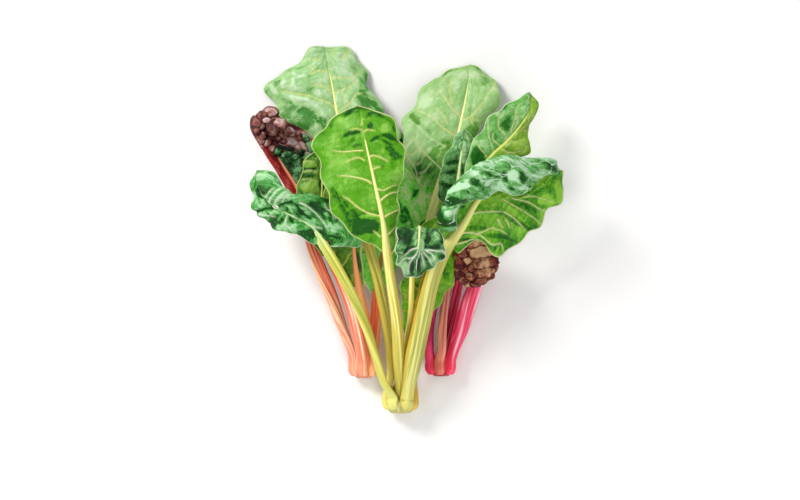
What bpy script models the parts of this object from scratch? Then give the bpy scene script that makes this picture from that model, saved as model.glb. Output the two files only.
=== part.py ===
"""Swiss chard bunch: three cut heads of rainbow chard lying together on a table.

Blender 4.5 script. The tables below are in millimetres and turned into metres where vertices are made.
+Y runs from the cut crowns to the leaf tips, +Z is up, and the table is the plane z = 0.
Every leaf is a ribbed stalk, which runs on as the midrib, and a thin waved blade that is slit to take it.
Each half of a blade is lofted from the midrib to its margin, by way of a fold line where it curls over.
"""

import math
from dataclasses import dataclass

import bmesh
import bpy
import numpy as np

MM = 0.001

# Curves
ROUTE_STEPS = 24
SEAT_GAP = 0.4
SEAT_RUN = 9.0

# Blade
BLADE_THICKNESS = 0.9
SLIT_GAP = 0.4
MIDRIB_ROWS = 0.93
QUILT_HEIGHT = 2.0
VEIN_BEND = 0.10
SCALLOP = 0.05
SCALLOPS_PER_WAVE = 1.6
FULL_ROW = 24.0
FULL_QUILT = 14.0
BLADE_COLUMNS = (0.0, 0.3, 0.58, 0.82, 1.0)
FOLD_COLUMNS = (0.0, 0.2, 0.4, 0.6, 0.8, 1.0)

# Stalk cross-section, in half-widths across and heights up: a shallow groove above, a deep round back below
STALK_RINGS = 8
SECTION = (
    (1.0, 0.0),
    (0.52, 0.24),
    (0.0, 0.13),
    (-0.52, 0.24),
    (-1.0, 0.0),
    (-0.68, -0.58),
    (0.0, -0.80),
    (0.68, -0.58),
)
RIB_TIP_WIDTH = 2.0
RIB_TIP_HEIGHT = 1.8

# Crowns
CROWN_SIDES = 20
CROWN_TAPER = 0.88


@dataclass(frozen=True)
class Head:
    """One cut head: the short crown that its stalks stand on."""

    name: str
    face: tuple  # centre of the face that carries the stalks
    radius: float
    length: float
    colour: tuple


@dataclass(frozen=True)
class Leaf:
    """One leaf of a head."""

    name: str
    head: Head
    seat: tuple  # angle round the crown in degrees from +X towards +Z, and distance from its axis
    route: tuple  # centreline, from just past the crown to the tip of the blade
    blade_from: int  # the point of the route where the blade begins
    minus: tuple  # lines of one half of the blade, from base to tip: any fold lines, then the margin
    plus: tuple  # the same for the other half
    stalk: tuple  # width at the seat, at a third of the stalk and at the blade
    thickness: tuple  # the same for its height
    roll: tuple  # turn of the upper face about the route, in degrees: seat, blade's start, tip
    arch: float = 4.0  # how far each half bows up between midrib and margin
    ruffle: tuple = (4.0, 2.5, 0.0)  # height, number and phase of the waves along the margin
    fan: float = 0.86  # share of the blade's length over which veins leave the midrib
    rows: int = 12
    leaf_colour: tuple = (0.10, 0.34, 0.05)
    stalk_colour: tuple = (0.60, 0.55, 0.12)


YELLOW = Head("yellow_crown", (1.0, 12.0, 17.0), 20.5, 12.0, (0.62, 0.58, 0.22))
CORAL = Head("coral_crown", (-43.0, 52.0, 12.8), 15.6, 10.0, (0.78, 0.30, 0.18))
CRIMSON = Head("crimson_crown", (50.0, 54.0, 12.8), 15.6, 10.0, (0.52, 0.04, 0.06))
HEADS = (YELLOW, CORAL, CRIMSON)

GOLD = (0.62, 0.55, 0.10)
CORAL_RED = (0.78, 0.25, 0.14)
ORANGE = (0.80, 0.26, 0.09)
CRIMSON_RED = (0.46, 0.02, 0.05)
MAGENTA = (0.42, 0.03, 0.10)

LEAVES = (
    Leaf(
        "yellow_front", YELLOW, (90, 2.0),
        ((-1, 60, 44), (-4, 108, 66), (-10, 152, 85), (-15, 190, 98), (-20, 229, 107),
         (-31, 280, 112), (-41, 325, 109), (-50, 367, 98)),
        blade_from=3,
        minus=(((-5, 192, 96), (-4, 212, 99), (-4, 240, 103), (0, 268, 106), (5, 300, 106),
                (1, 328, 103), (-9, 348, 100), (-26, 361, 98)),),
        plus=(((-23, 194, 95), (-42, 208, 96), (-68, 224, 98), (-80, 242, 101), (-87, 268, 103),
               (-98, 300, 102), (-101, 318, 101), (-95, 336, 99), (-82, 350, 97), (-64, 362, 96)),),
        stalk=(12, 15, 11), thickness=(7, 9, 8), roll=(180, 180, 180), arch=-4.0,
        ruffle=(3.0, 3.5, 0.6), rows=16, leaf_colour=(0.16, 0.46, 0.03), stalk_colour=GOLD,
    ),
    Leaf(
        "yellow_right", YELLOW, (60, 14.5),
        ((15, 60, 50), (26, 110, 64), (37, 157, 78), (47, 184, 85), (56, 201, 88), (66, 214, 91),
         (77, 229, 94), (89, 250, 96), (105, 269, 96), (130, 283, 94), (160, 289, 86), (194, 291, 72)),
        blade_from=4,
        minus=(((69, 192, 86), (84, 202, 85), (100, 203, 78), (126, 190, 68), (147, 212, 70),
                (170, 230, 66), (187, 254, 63), (195, 277, 66)),),
        plus=(((48, 214, 99), (46, 232, 107), (56, 260, 113), (84, 290, 113), (116, 304, 107),
               (150, 303, 100), (180, 301, 88)),
              ((55, 218, 114), (56, 236, 125), (68, 256, 130), (94, 279, 131), (122, 290, 127),
               (150, 289, 116), (178, 296, 97)),
              ((64, 220, 112), (69, 238, 121), (84, 252, 125), (106, 261, 124), (128, 261, 120),
               (147, 264, 112), (166, 275, 103), (181, 289, 88))),
        stalk=(14, 24, 17), thickness=(9, 13, 10), roll=(210, 190, 170), arch=-6.0,
        ruffle=(5.0, 3.5, 0.0), rows=17, leaf_colour=(0.14, 0.38, 0.05), stalk_colour=GOLD,
    ),
    Leaf(
        "yellow_left", YELLOW, (125, 14.5),
        ((-18, 40, 42), (-26, 67, 52), (-36, 97, 61), (-50, 130, 69), (-70, 167, 77), (-92, 204, 84),
         (-104, 222, 88), (-126, 235, 91), (-149, 247, 89), (-166, 264, 81), (-172, 287, 70)),
        blade_from=5,
        minus=(((-102, 202, 84), (-118, 211, 87), (-136, 216, 88), (-151, 222, 86), (-165, 233, 82),
                (-175, 252, 76), (-178, 271, 71)),),
        plus=(((-80, 210, 83), (-62, 210, 79), (-70, 228, 82), (-90, 241, 90), (-110, 249, 103),
               (-132, 257, 109), (-150, 268, 104), (-166, 280, 90)),
              ((-83, 200, 81), (-64, 198, 77), (-46, 202, 75), (-41, 216, 76), (-56, 236, 79),
               (-76, 250, 84), (-100, 260, 95), (-126, 264, 100), (-142, 277, 98), (-158, 289, 90),
               (-170, 292, 80))),
        stalk=(14, 15, 12), thickness=(8, 9, 8), roll=(110, 20, 0),
        ruffle=(3.0, 3.5, 1.0), rows=15, leaf_colour=(0.12, 0.40, 0.12), stalk_colour=(0.50, 0.55, 0.14),
    ),
    Leaf(
        "yellow_tall_left", YELLOW, (180, 14.5),
        ((-9, 45, 22), (-10, 71, 30), (-14, 102, 38), (-21, 138, 43), (-27, 165, 45), (-38, 203, 46),
         (-48, 240, 44), (-60, 290, 36), (-74, 352, 25), (-82, 396, 16), (-92, 440, 5)),
        blade_from=7,
        minus=(((-74, 288, 32), (-97, 307, 24), (-118, 332, 19), (-142, 357, 14), (-160, 382, 9),
                (-150, 402, 6), (-124, 420, 4), (-112, 436, 4)),),
        plus=(((-45, 285, 35), (-20, 298, 33), (0, 322, 28), (-8, 350, 22), (-28, 376, 17),
               (-38, 392, 13), (-40, 412, 8), (-54, 430, 5), (-72, 439, 5)),),
        stalk=(11, 14, 11), thickness=(8, 9, 8), roll=(90, 0, 0),
        ruffle=(3.0, 3.5, 0.3), rows=16, leaf_colour=(0.42, 0.66, 0.34), stalk_colour=GOLD,
    ),
    Leaf(
        "yellow_tall_right", YELLOW, (312, 14.5),
        ((8, 60, 11), (16, 120, 18), (26, 180, 27), (38, 240, 36), (52, 286, 40), (66, 322, 36),
         (74, 355, 28), (80, 386, 18), (83, 418, 6)),
        blade_from=4,
        minus=(((42, 272, 37), (24, 276, 36), (8, 296, 36), (2, 322, 32), (4, 346, 27), (13, 368, 21),
                (28, 389, 15), (48, 405, 9), (66, 415, 6)),),
        plus=(((60, 284, 38), (73, 310, 36), (90, 334, 31), (107, 354, 25), (118, 370, 20),
               (120, 384, 16), (115, 397, 11), (102, 411, 7)),),
        stalk=(11, 13, 10), thickness=(7, 8, 8), roll=(-42, 0, 0),
        ruffle=(3.0, 3.0, 0.8), rows=15, leaf_colour=(0.38, 0.62, 0.20), stalk_colour=GOLD,
    ),
    Leaf(
        "yellow_inner", YELLOW, (6, 14.5),
        ((14, 45, 22), (12, 84, 31), (16, 116, 38), (23, 150, 43), (30, 174, 47), (40, 206, 52),
         (47, 236, 56)),
        blade_from=1,
        minus=(((6, 90, 31), (3, 114, 37), (1, 140, 42), (3, 166, 46), (11, 192, 50), (22, 216, 54),
                (34, 232, 56)),),
        plus=(((19, 88, 31), (31, 108, 36), (46, 130, 42), (60, 150, 48), (69, 172, 52), (68, 196, 54),
               (62, 220, 56)),),
        stalk=(10, 9, 6), thickness=(7, 7, 6), roll=(-96, 0, 0), arch=2.0,
        ruffle=(2.5, 4.0, 0.0), rows=13, leaf_colour=(0.16, 0.36, 0.05), stalk_colour=(0.70, 0.42, 0.06),
    ),
    Leaf(
        "yellow_curled", YELLOW, (232, 14.5),
        ((2, 45, 24), (8, 80, 42), (13, 118, 60), (14, 150, 76), (15, 180, 92), (18, 203, 108),
         (21, 217, 118), (23, 224, 130), (23, 218, 141), (22, 203, 144), (20, 183, 136), (18, 163, 120)),
        blade_from=5,
        minus=(((26, 202, 108), (39, 216, 118), (46, 221, 130), (50, 210, 142), (54, 192, 139),
                (46, 180, 131), (32, 169, 121)),),
        plus=(((10, 202, 108), (1, 215, 119), (-3, 219, 131), (-4, 208, 142), (-5, 188, 137),
               (0, 173, 127), (10, 164, 120)),),
        stalk=(9, 8, 6), thickness=(7, 6, 5), roll=(38, 180, 180), arch=-1.0,
        ruffle=(3.0, 3.5, 0.0), fan=0.64, rows=12, leaf_colour=(0.05, 0.22, 0.04), stalk_colour=GOLD,
    ),
    Leaf(
        "coral_outer", CORAL, (170, 10.2),
        ((-56, 76, 18), (-66, 102, 22), (-79, 136, 28), (-94, 170, 34), (-106, 203, 38), (-113, 235, 39),
         (-122, 265, 38), (-137, 291, 37), (-153, 318, 38), (-164, 342, 44), (-165, 359, 54),
         (-160, 363, 66), (-155, 351, 72)),
        blade_from=5,
        minus=(((-124, 241, 39), (-134, 265, 39), (-149, 291, 41), (-165, 316, 44), (-176, 334, 50),
                (-179, 347, 59), (-174, 356, 69), (-164, 349, 76)),),
        plus=(((-106, 240, 38), (-96, 262, 36), (-92, 288, 35), (-94, 310, 35), (-103, 328, 38),
               (-120, 342, 42), (-138, 350, 48), (-146, 358, 58), (-147, 352, 70)),),
        stalk=(13, 21, 10), thickness=(9, 11, 8), roll=(100, 0, 0), arch=3.0,
        ruffle=(2.5, 5.0, 0.0), rows=15, leaf_colour=(0.10, 0.05, 0.04), stalk_colour=CORAL_RED,
    ),
    Leaf(
        "coral_left", CORAL, (98, 10.2),
        ((-46, 76, 31), (-51, 102, 35), (-60, 134, 40), (-73, 165, 44), (-85, 190, 48), (-91, 218, 51),
         (-93, 250, 53), (-92, 285, 53), (-87, 318, 49)),
        blade_from=4,
        minus=(((-78, 195, 46), (-67, 218, 47), (-62, 250, 48), (-64, 285, 48), (-74, 308, 47)),),
        plus=(((-93, 188, 47), (-109, 212, 50), (-121, 244, 52), (-122, 268, 52), (-117, 292, 51),
               (-104, 311, 49)),),
        stalk=(12, 18, 9), thickness=(8, 9, 7), roll=(172, 180, 180), arch=-3.0,
        ruffle=(3.0, 3.0, 0.5), leaf_colour=(0.10, 0.28, 0.05), stalk_colour=CORAL_RED,
    ),
    Leaf(
        "coral_middle", CORAL, (26, 10.2),
        ((-34, 76, 22), (-38, 96, 26), (-43, 122, 31), (-49, 150, 37), (-53, 176, 46), (-55, 202, 57),
         (-55, 238, 70), (-52, 278, 76), (-48, 314, 77), (-46, 344, 70)),
        blade_from=3,
        minus=(((-43, 154, 38), (-45, 178, 47), (-48, 202, 59), (-38, 226, 70), (-25, 250, 75),
                (-19, 282, 77), (-26, 318, 76)),),
        plus=(((-58, 153, 38), (-66, 166, 44), (-77, 188, 57), (-85, 208, 65), (-90, 240, 73),
               (-86, 282, 78), (-70, 322, 76)),),
        stalk=(12, 13, 9), thickness=(8, 9, 7), roll=(244, 180, 180), arch=-2.0,
        ruffle=(3.0, 3.0, 1.2), rows=13, leaf_colour=(0.08, 0.26, 0.04), stalk_colour=ORANGE,
    ),
    Leaf(
        "coral_inner", CORAL, (318, 9.4),
        ((-33, 76, 12), (-30, 108, 16), (-28, 146, 20), (-22, 190, 24), (-12, 228, 27), (-6, 268, 25),
         (-2, 306, 19), (0, 338, 12)),
        blade_from=2,
        minus=(((-35, 144, 20), (-44, 162, 24), (-46, 190, 27), (-42, 230, 27), (-34, 275, 23),
                (-20, 318, 15)),),
        plus=(((-20, 149, 20), (-10, 166, 21), (6, 186, 19), (26, 209, 17), (42, 238, 16), (46, 268, 15),
               (38, 300, 15), (20, 324, 14)),),
        stalk=(11, 15, 10), thickness=(8, 9, 7), roll=(-44, 0, 0), arch=1.0,
        ruffle=(2.5, 4.0, 0.0), rows=13, leaf_colour=(0.20, 0.40, 0.06), stalk_colour=CORAL_RED,
    ),
    Leaf(
        "crimson_outer", CRIMSON, (30, 10.2),
        ((63, 76, 18), (71, 98, 22), (81, 128, 26), (90, 154, 29), (95, 180, 31), (97, 197, 37),
         (97, 205, 47), (95, 200, 57), (92, 184, 62), (90, 168, 60), (88, 153, 52)),
        blade_from=5,
        minus=(((106, 195, 38), (113, 203, 46), (116, 196, 56), (117, 178, 60), (112, 163, 56),
                (100, 155, 52)),),
        plus=(((88, 195, 38), (76, 204, 46), (69, 198, 57), (66, 182, 62), (68, 166, 58), (78, 155, 52)),),
        stalk=(13, 24, 14), thickness=(9, 11, 8), roll=(-120, -180, -180), arch=-3.0,
        ruffle=(2.5, 4.0, 0.0), fan=0.7, rows=14, leaf_colour=(0.20, 0.07, 0.04), stalk_colour=CRIMSON_RED,
    ),
    Leaf(
        "crimson_tall", CRIMSON, (314, 9.6),
        ((55, 78, 10), (59, 100, 12), (65, 130, 15), (72, 166, 22), (78, 205, 34), (84, 245, 52),
         (94, 282, 66), (105, 304, 72), (126, 324, 72), (142, 342, 68), (154, 362, 61), (155, 384, 51)),
        blade_from=5,
        minus=(((76, 253, 57), (75, 280, 67), (82, 312, 72), (102, 348, 72), (120, 364, 70),
                (138, 376, 62)),),
        plus=(((92, 246, 52), (110, 272, 60), (126, 292, 66), (142, 302, 66), (154, 314, 64),
               (152, 332, 62), (160, 350, 58), (163, 372, 52)),),
        stalk=(11, 12, 9), thickness=(7, 8, 7), roll=(-42, 0, 0), arch=2.0,
        ruffle=(3.5, 3.5, 0.0), rows=14, leaf_colour=(0.16, 0.42, 0.12), stalk_colour=CRIMSON_RED,
    ),
    Leaf(
        "crimson_inner", CRIMSON, (176, 10.2),
        ((38, 78, 17), (38, 104, 18), (42, 134, 20), (48, 172, 26), (57, 212, 40), (64, 244, 49),
         (69, 280, 54), (73, 312, 55), (77, 340, 50)),
        blade_from=5,
        minus=(((56, 246, 49), (45, 262, 52), (47, 286, 53), (56, 312, 53), (68, 334, 51)),),
        plus=(((71, 243, 46), (83, 262, 47), (90, 288, 50), (91, 314, 51), (86, 332, 50)),),
        stalk=(13, 15, 9), thickness=(10, 11, 7), roll=(94, 0, 0), arch=1.0,
        ruffle=(2.0, 2.5, 0.0), rows=11, leaf_colour=(0.08, 0.28, 0.06), stalk_colour=MAGENTA,
    ),
    Leaf(
        "crimson_back", CRIMSON, (104, 10.2),
        ((50, 78, 27), (51, 104, 26), (54, 136, 26), (60, 172, 22), (70, 210, 16), (80, 250, 11),
         (90, 290, 8), (98, 334, 5)),
        blade_from=4,
        minus=(((78, 210, 15), (98, 230, 10), (112, 262, 6), (120, 296, 4), (114, 324, 4)),),
        plus=(((62, 212, 15), (48, 232, 11), (46, 266, 9), (56, 302, 7), (78, 330, 5)),),
        stalk=(11, 10, 8), thickness=(7, 8, 6), roll=(166, 180, 180), arch=-1.0,
        ruffle=(1.5, 2.5, 0.0), rows=10, leaf_colour=(0.08, 0.26, 0.06), stalk_colour=(0.45, 0.16, 0.09),
    ),
)


def smooth_step(x):
    """0 to 1 with level ends."""
    x = np.clip(x, 0.0, 1.0)
    return x * x * (3 - 2 * x)


def unit(v):
    return v / np.linalg.norm(v, axis=-1, keepdims=True)


def curve_between(a, b, c, d, t):
    """The Catmull-Rom curve from b to c, at shares t of the way; a and d are the points either side."""
    return 0.5 * (2 * b + (c - a) * t + (2 * a - 5 * b + 4 * c - d) * t**2 + (3 * b - a - 3 * c + d) * t**3)


def spline(points):
    """A smooth curve through the points, as many short steps."""
    points = np.asarray(points, float)
    knots = np.vstack([2 * points[0] - points[1], points, 2 * points[-1] - points[-2]])
    t = np.arange(ROUTE_STEPS)[:, None] / ROUTE_STEPS
    pieces = [curve_between(*four, t) for four in zip(knots, knots[1:], knots[2:], knots[3:])]
    return np.vstack([*pieces, points[-1:]])


def run_along(curve):
    """The distance of each step of the curve from its start."""
    return np.concatenate([[0.0], np.cumsum(np.linalg.norm(np.diff(curve, axis=0), axis=1))])


def read(curve, at, distance):
    """The curve's values at these distances."""
    return np.stack([np.interp(distance, at, curve[:, k]) for k in range(3)], axis=-1)


class Axis:
    """The smooth centreline of a leaf, with its side and upper directions, by distance along it."""

    def __init__(self, leaf):
        angle, distance = math.radians(leaf.seat[0]), leaf.seat[1]
        x, y, z = leaf.head.face
        seat = np.array([x + distance * math.cos(angle), y + SEAT_GAP, z + distance * math.sin(angle)])
        self.points = spline([seat, seat + (0, SEAT_RUN, 0), *leaf.route])
        self.at = run_along(self.points)
        self.length = self.at[-1]
        self.blade_start = self.at[(leaf.blade_from + 2) * ROUTE_STEPS]
        self.blade_length = self.length - self.blade_start
        self.tangents = unit(np.gradient(self.points, self.at, axis=0))
        self.uppers = self.carried_upper(leaf)

    def carried_upper(self, leaf):
        """The upper direction carried along the curve without twist, then turned by the leaf's roll."""
        upper = np.empty_like(self.tangents)
        upper[0] = unit(np.array([0, 0, 1.0]) - self.tangents[0, 2] * self.tangents[0])
        for i in range(1, len(upper)):
            upper[i] = unit(upper[i - 1] - (upper[i - 1] @ self.tangents[i]) * self.tangents[i])
        seat, start, tip = leaf.roll
        along_stalk = smooth_step(self.at / self.blade_start)
        along_blade = smooth_step((self.at - self.blade_start) / self.blade_length)
        roll = np.radians(seat + (start - seat) * along_stalk + (tip - start) * along_blade)[:, None]
        return upper * np.cos(roll) + np.cross(self.tangents, upper) * np.sin(roll)

    def fanned_end(self, leaf, share):
        """The distance at which the last row, which runs along the axis, has this share of its width."""
        return self.blade_start + (leaf.fan + (1 - leaf.fan) * share) * self.blade_length

    def frame(self, distance):
        """Position, side, upper and forward directions at these distances."""
        tangent = unit(read(self.tangents, self.at, distance))
        side = unit(np.cross(tangent, read(self.uppers, self.at, distance)))
        return read(self.points, self.at, distance), side, np.cross(side, tangent), tangent


def stalk_size(leaf, axis, distance):
    """Width and thickness of the stalk, and of the midrib that it runs on as."""
    rib_end = axis.blade_start + MIDRIB_ROWS * leaf.fan * axis.blade_length
    stations = (0.0, axis.blade_start / 3, axis.blade_start, rib_end)
    width = np.interp(distance, stations, (*leaf.stalk, RIB_TIP_WIDTH))
    return width, np.interp(distance, stations, (*leaf.thickness, RIB_TIP_HEIGHT))


def across(knots, column):
    """A smooth curve from midrib to margin through the lines' points in each row."""
    knots = [2 * knots[0] - knots[1], *knots, 2 * knots[-1] - knots[-2]]
    spans = len(knots) - 3
    value = np.zeros_like(knots[0])
    for k in range(spans):
        inside = (column * spans >= k) & ((column * spans < k + 1) | (k == spans - 1))
        piece = curve_between(*knots[k:k + 4], (column * spans - k)[..., None])
        value = np.where(inside[..., None], piece, value)
    return value


def bare_blade(leaf, axis, sign, row, column):
    """The blade's smooth form, by share of the rows and share from midrib to margin."""
    lines = leaf.minus if sign < 0 else leaf.plus
    start = axis.blade_start + leaf.fan * row * axis.blade_length
    centre, side, upper, forward = axis.frame(start)
    width, _ = stalk_size(leaf, axis, start)
    slit = np.where(row <= MIDRIB_ROWS, width / 2 + SLIT_GAP, 0.0)
    knots = [centre + side * (sign * slit)[..., None]]
    for k, line in enumerate(lines, start=1):
        last = axis.frame(axis.fanned_end(leaf, k / len(lines)))[0]
        curve = spline([*line, last])
        at = run_along(curve)
        knots.append(read(curve, at, row * at[-1]))
    bow = 4 * column * (1 - column)
    bend = VEIN_BEND * axis.blade_length * column * (1 - column) * np.sin(math.pi * row)
    height = leaf.arch * bow * np.sin(math.pi * row) ** 0.5
    surface = across(knots, column) + forward * bend[..., None] + upper * height[..., None]
    spine = axis.frame(axis.fanned_end(leaf, column))[0]
    return np.where(row[..., None] == 1.0, spine, surface)


def blade_point(leaf, axis, sign, row, column):
    """The blade's middle surface: the smooth form with its scalloped margin, quilting and waves."""
    step = 1e-3
    here = bare_blade(leaf, axis, sign, row, column)
    ahead = bare_blade(leaf, axis, sign, np.minimum(row + step, 1.0), column)
    behind = bare_blade(leaf, axis, sign, np.maximum(row - step, 0.0), column)
    outer = bare_blade(leaf, axis, sign, row, np.minimum(column + step, 1.0))
    inner = bare_blade(leaf, axis, sign, row, np.maximum(column - step, 0.0))
    normal = unit(np.cross(outer - inner, ahead - behind) * sign)
    outward = unit(outer - inner)

    height, waves, phase = leaf.ruffle
    fade = 1 - smooth_step((row - 0.8) / 0.2)
    root = bare_blade(leaf, axis, sign, row, np.zeros_like(column))
    reach = np.linalg.norm(here - root, axis=-1)
    row_length = np.linalg.norm(bare_blade(leaf, axis, sign, row, np.ones_like(column)) - root, axis=-1)
    fade = fade * smooth_step(row_length / FULL_ROW)
    turn = 2 * math.pi * waves * row + phase + sign
    wave = height * column**2 * np.sin(turn)
    quilt = QUILT_HEIGHT * np.sin(math.pi * row * leaf.rows / 2) ** 2 * np.sin(math.pi * column**0.8)
    quilt = quilt * smooth_step(reach / FULL_QUILT)
    scallop = SCALLOP * reach * column**2 * np.sin(SCALLOPS_PER_WAVE * turn)
    return here + normal * ((wave + quilt) * fade)[..., None] + outward * (scallop * fade)[..., None]


def grid(mesh, columns, rows):
    """A grid of (columns + 1) x (rows + 1) vertices added to the mesh, as an array by row and column."""
    made = bmesh.ops.create_grid(mesh, x_segments=columns, y_segments=rows, size=1.0)["verts"]
    made.sort(key=lambda v: (round(v.co.y, 5), round(v.co.x, 5)))
    return np.array(made, dtype=object).reshape(rows + 1, columns + 1)


def place(vertices, points):
    """Moves each vertex of the grid to its point."""
    for vertex, point in zip(vertices.ravel(), points.reshape(-1, 3)):
        vertex.co = point * MM


def new_object(name, mesh, colour, roughness, collection):
    """Makes the mesh an object with its own material."""
    data = bpy.data.meshes.new(name)
    mesh.to_mesh(data)
    mesh.free()
    material = bpy.data.materials.new(name)
    material.use_nodes = True
    shader = material.node_tree.nodes["Principled BSDF"]
    shader.inputs["Base Color"].default_value = (*colour, 1.0)
    shader.inputs["Roughness"].default_value = roughness
    material.diffuse_color = (*colour, 1.0)
    data.materials.append(material)
    data.shade_smooth()
    made = bpy.data.objects.new(name, data)
    collection.objects.link(made)
    return made


def make_blade(leaf, axis, collection):
    """Two grids, one each side of the midrib, welded beyond its end and given their thickness."""
    mesh = bmesh.new()
    share = np.linspace(0.0, 1.0, leaf.rows + 1)
    folded = max(len(leaf.minus), len(leaf.plus)) > 1
    columns = np.array(FOLD_COLUMNS if folded else BLADE_COLUMNS)
    for sign in (-1, 1):
        vertices = grid(mesh, len(columns) - 1, leaf.rows)
        row, column = np.meshgrid(share, columns, indexing="ij")
        place(vertices, blade_point(leaf, axis, sign, row, column))
        if sign < 0:
            faces = {f for v in vertices.ravel() for f in v.link_faces}
            bmesh.ops.reverse_faces(mesh, faces=list(faces))
    bmesh.ops.remove_doubles(mesh, verts=mesh.verts, dist=0.02 * MM)
    bmesh.ops.triangulate(mesh, faces=mesh.faces, quad_method="SHORT_EDGE")
    made = new_object(f"{leaf.name}_blade", mesh, leaf.leaf_colour, 0.5, collection)
    shell = made.modifiers.new("thickness", "SOLIDIFY")
    shell.thickness = BLADE_THICKNESS * MM
    shell.offset = 0.0
    return made


def make_stalk(leaf, axis, collection):
    """The stalk and midrib: a grid wrapped round the ribbed section and closed at both ends."""
    share = np.linspace(0.0, 1.0, leaf.rows + 1)
    rib = leaf.fan * share[share <= MIDRIB_ROWS]
    free = np.linspace(0.0, axis.blade_start, STALK_RINGS, endpoint=False)
    stations = np.concatenate([free, axis.blade_start + rib * axis.blade_length])
    width, thickness = stalk_size(leaf, axis, stations)
    centre, side, upper, _ = axis.frame(stations)
    section = np.array([*SECTION, SECTION[0]])
    points = (centre[:, None] + side[:, None] * (section[:, 0] * width[:, None] / 2)[..., None]
              + upper[:, None] * (section[:, 1] * thickness[:, None])[..., None])
    mesh = bmesh.new()
    place(grid(mesh, len(SECTION), len(stations) - 1), points)
    bmesh.ops.remove_doubles(mesh, verts=mesh.verts, dist=0.02 * MM)
    bmesh.ops.holes_fill(mesh, edges=mesh.edges)
    bmesh.ops.triangulate(mesh, faces=mesh.faces, quad_method="SHORT_EDGE")
    bmesh.ops.recalc_face_normals(mesh, faces=mesh.faces)
    return new_object(f"{leaf.name}_stalk", mesh, leaf.stalk_colour, 0.4, collection)


def make_crown(head, collection):
    """The cut base of a head: a short cone, widest where the stalks stand on it and flat where it rests."""
    mesh = bmesh.new()
    bmesh.ops.create_cone(mesh, cap_ends=True, segments=CROWN_SIDES, radius1=head.radius * MM,
                          radius2=head.radius * CROWN_TAPER * MM, depth=head.length * MM)
    x, y, z = head.face
    for vertex in mesh.verts:
        out, up, along = vertex.co.x, vertex.co.y, vertex.co.z
        vertex.co = (x * MM + out, y * MM - head.length * MM / 2 - along, max(0.0, z * MM + up))
    bmesh.ops.recalc_face_normals(mesh, faces=mesh.faces)
    return new_object(head.name, mesh, head.colour, 0.6, collection)


def centre_on_origin(pieces):
    """Moves the whole bunch so that the origin is under the middle of its box, on the table."""
    bpy.context.view_layer.update()
    graph = bpy.context.evaluated_depsgraph_get()
    corners = np.array([corner[:2] for piece in pieces for corner in piece.evaluated_get(graph).bound_box])
    middle = (corners.min(axis=0) + corners.max(axis=0)) / 2
    for piece in pieces:
        piece.location = (-middle[0], -middle[1], 0.0)


def main():
    for old in list(bpy.data.objects):
        bpy.data.objects.remove(old)
    bunch = bpy.data.collections.new("swiss_chard_bunch")
    bpy.context.scene.collection.children.link(bunch)
    pieces = [make_crown(head, bunch) for head in HEADS]
    for leaf in LEAVES:
        axis = Axis(leaf)
        pieces.append(make_stalk(leaf, axis, bunch))
        pieces.append(make_blade(leaf, axis, bunch))
    centre_on_origin(pieces)


main()
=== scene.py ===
"""Dresses the swiss chard bunch: fine veined blades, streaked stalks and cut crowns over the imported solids.

Lengths in the tables are millimetres in the bunch's own layout: +Y from the cut crowns to the leaf tips,
z = 0 the table. HEADS and LEAVES are laid out as in the source, so each fine piece lies where its solid lies.
"""

import logging
import math
from dataclasses import dataclass
from enum import Enum
from typing import Optional, Union

import bpy
import numpy as np
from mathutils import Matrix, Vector


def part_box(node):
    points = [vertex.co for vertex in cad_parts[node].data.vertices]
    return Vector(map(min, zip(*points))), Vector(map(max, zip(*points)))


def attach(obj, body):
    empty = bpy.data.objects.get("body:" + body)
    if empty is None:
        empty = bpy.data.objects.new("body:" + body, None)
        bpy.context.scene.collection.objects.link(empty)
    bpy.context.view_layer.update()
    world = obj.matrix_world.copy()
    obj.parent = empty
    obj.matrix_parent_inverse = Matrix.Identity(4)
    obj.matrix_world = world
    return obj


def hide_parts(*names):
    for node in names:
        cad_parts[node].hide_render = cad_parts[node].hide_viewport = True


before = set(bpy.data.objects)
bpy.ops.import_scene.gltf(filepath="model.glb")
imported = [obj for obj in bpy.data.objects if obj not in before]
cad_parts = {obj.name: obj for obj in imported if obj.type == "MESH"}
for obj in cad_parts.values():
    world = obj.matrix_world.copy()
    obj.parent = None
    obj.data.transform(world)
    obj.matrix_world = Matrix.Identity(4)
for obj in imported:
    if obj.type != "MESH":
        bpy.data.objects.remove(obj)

LOG = logging.getLogger("chard")
MM = 0.001
BODY = "root"

Colour = tuple[float, float, float]
Spot = tuple[float, float]
Point = tuple[float, float, float]
Line = tuple[Point, ...]
Array = np.ndarray


def rgb(red: int, green: int, blue: int) -> Colour:
    """A colour in linear light from red, green and blue as a screen shows them, 0 to 255."""
    shares = (red / 255, green / 255, blue / 255)
    return tuple(s / 12.92 if s <= 0.04045 else ((s + 0.055) / 1.055) ** 2.4 for s in shares)


# ---- shader graph


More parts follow.
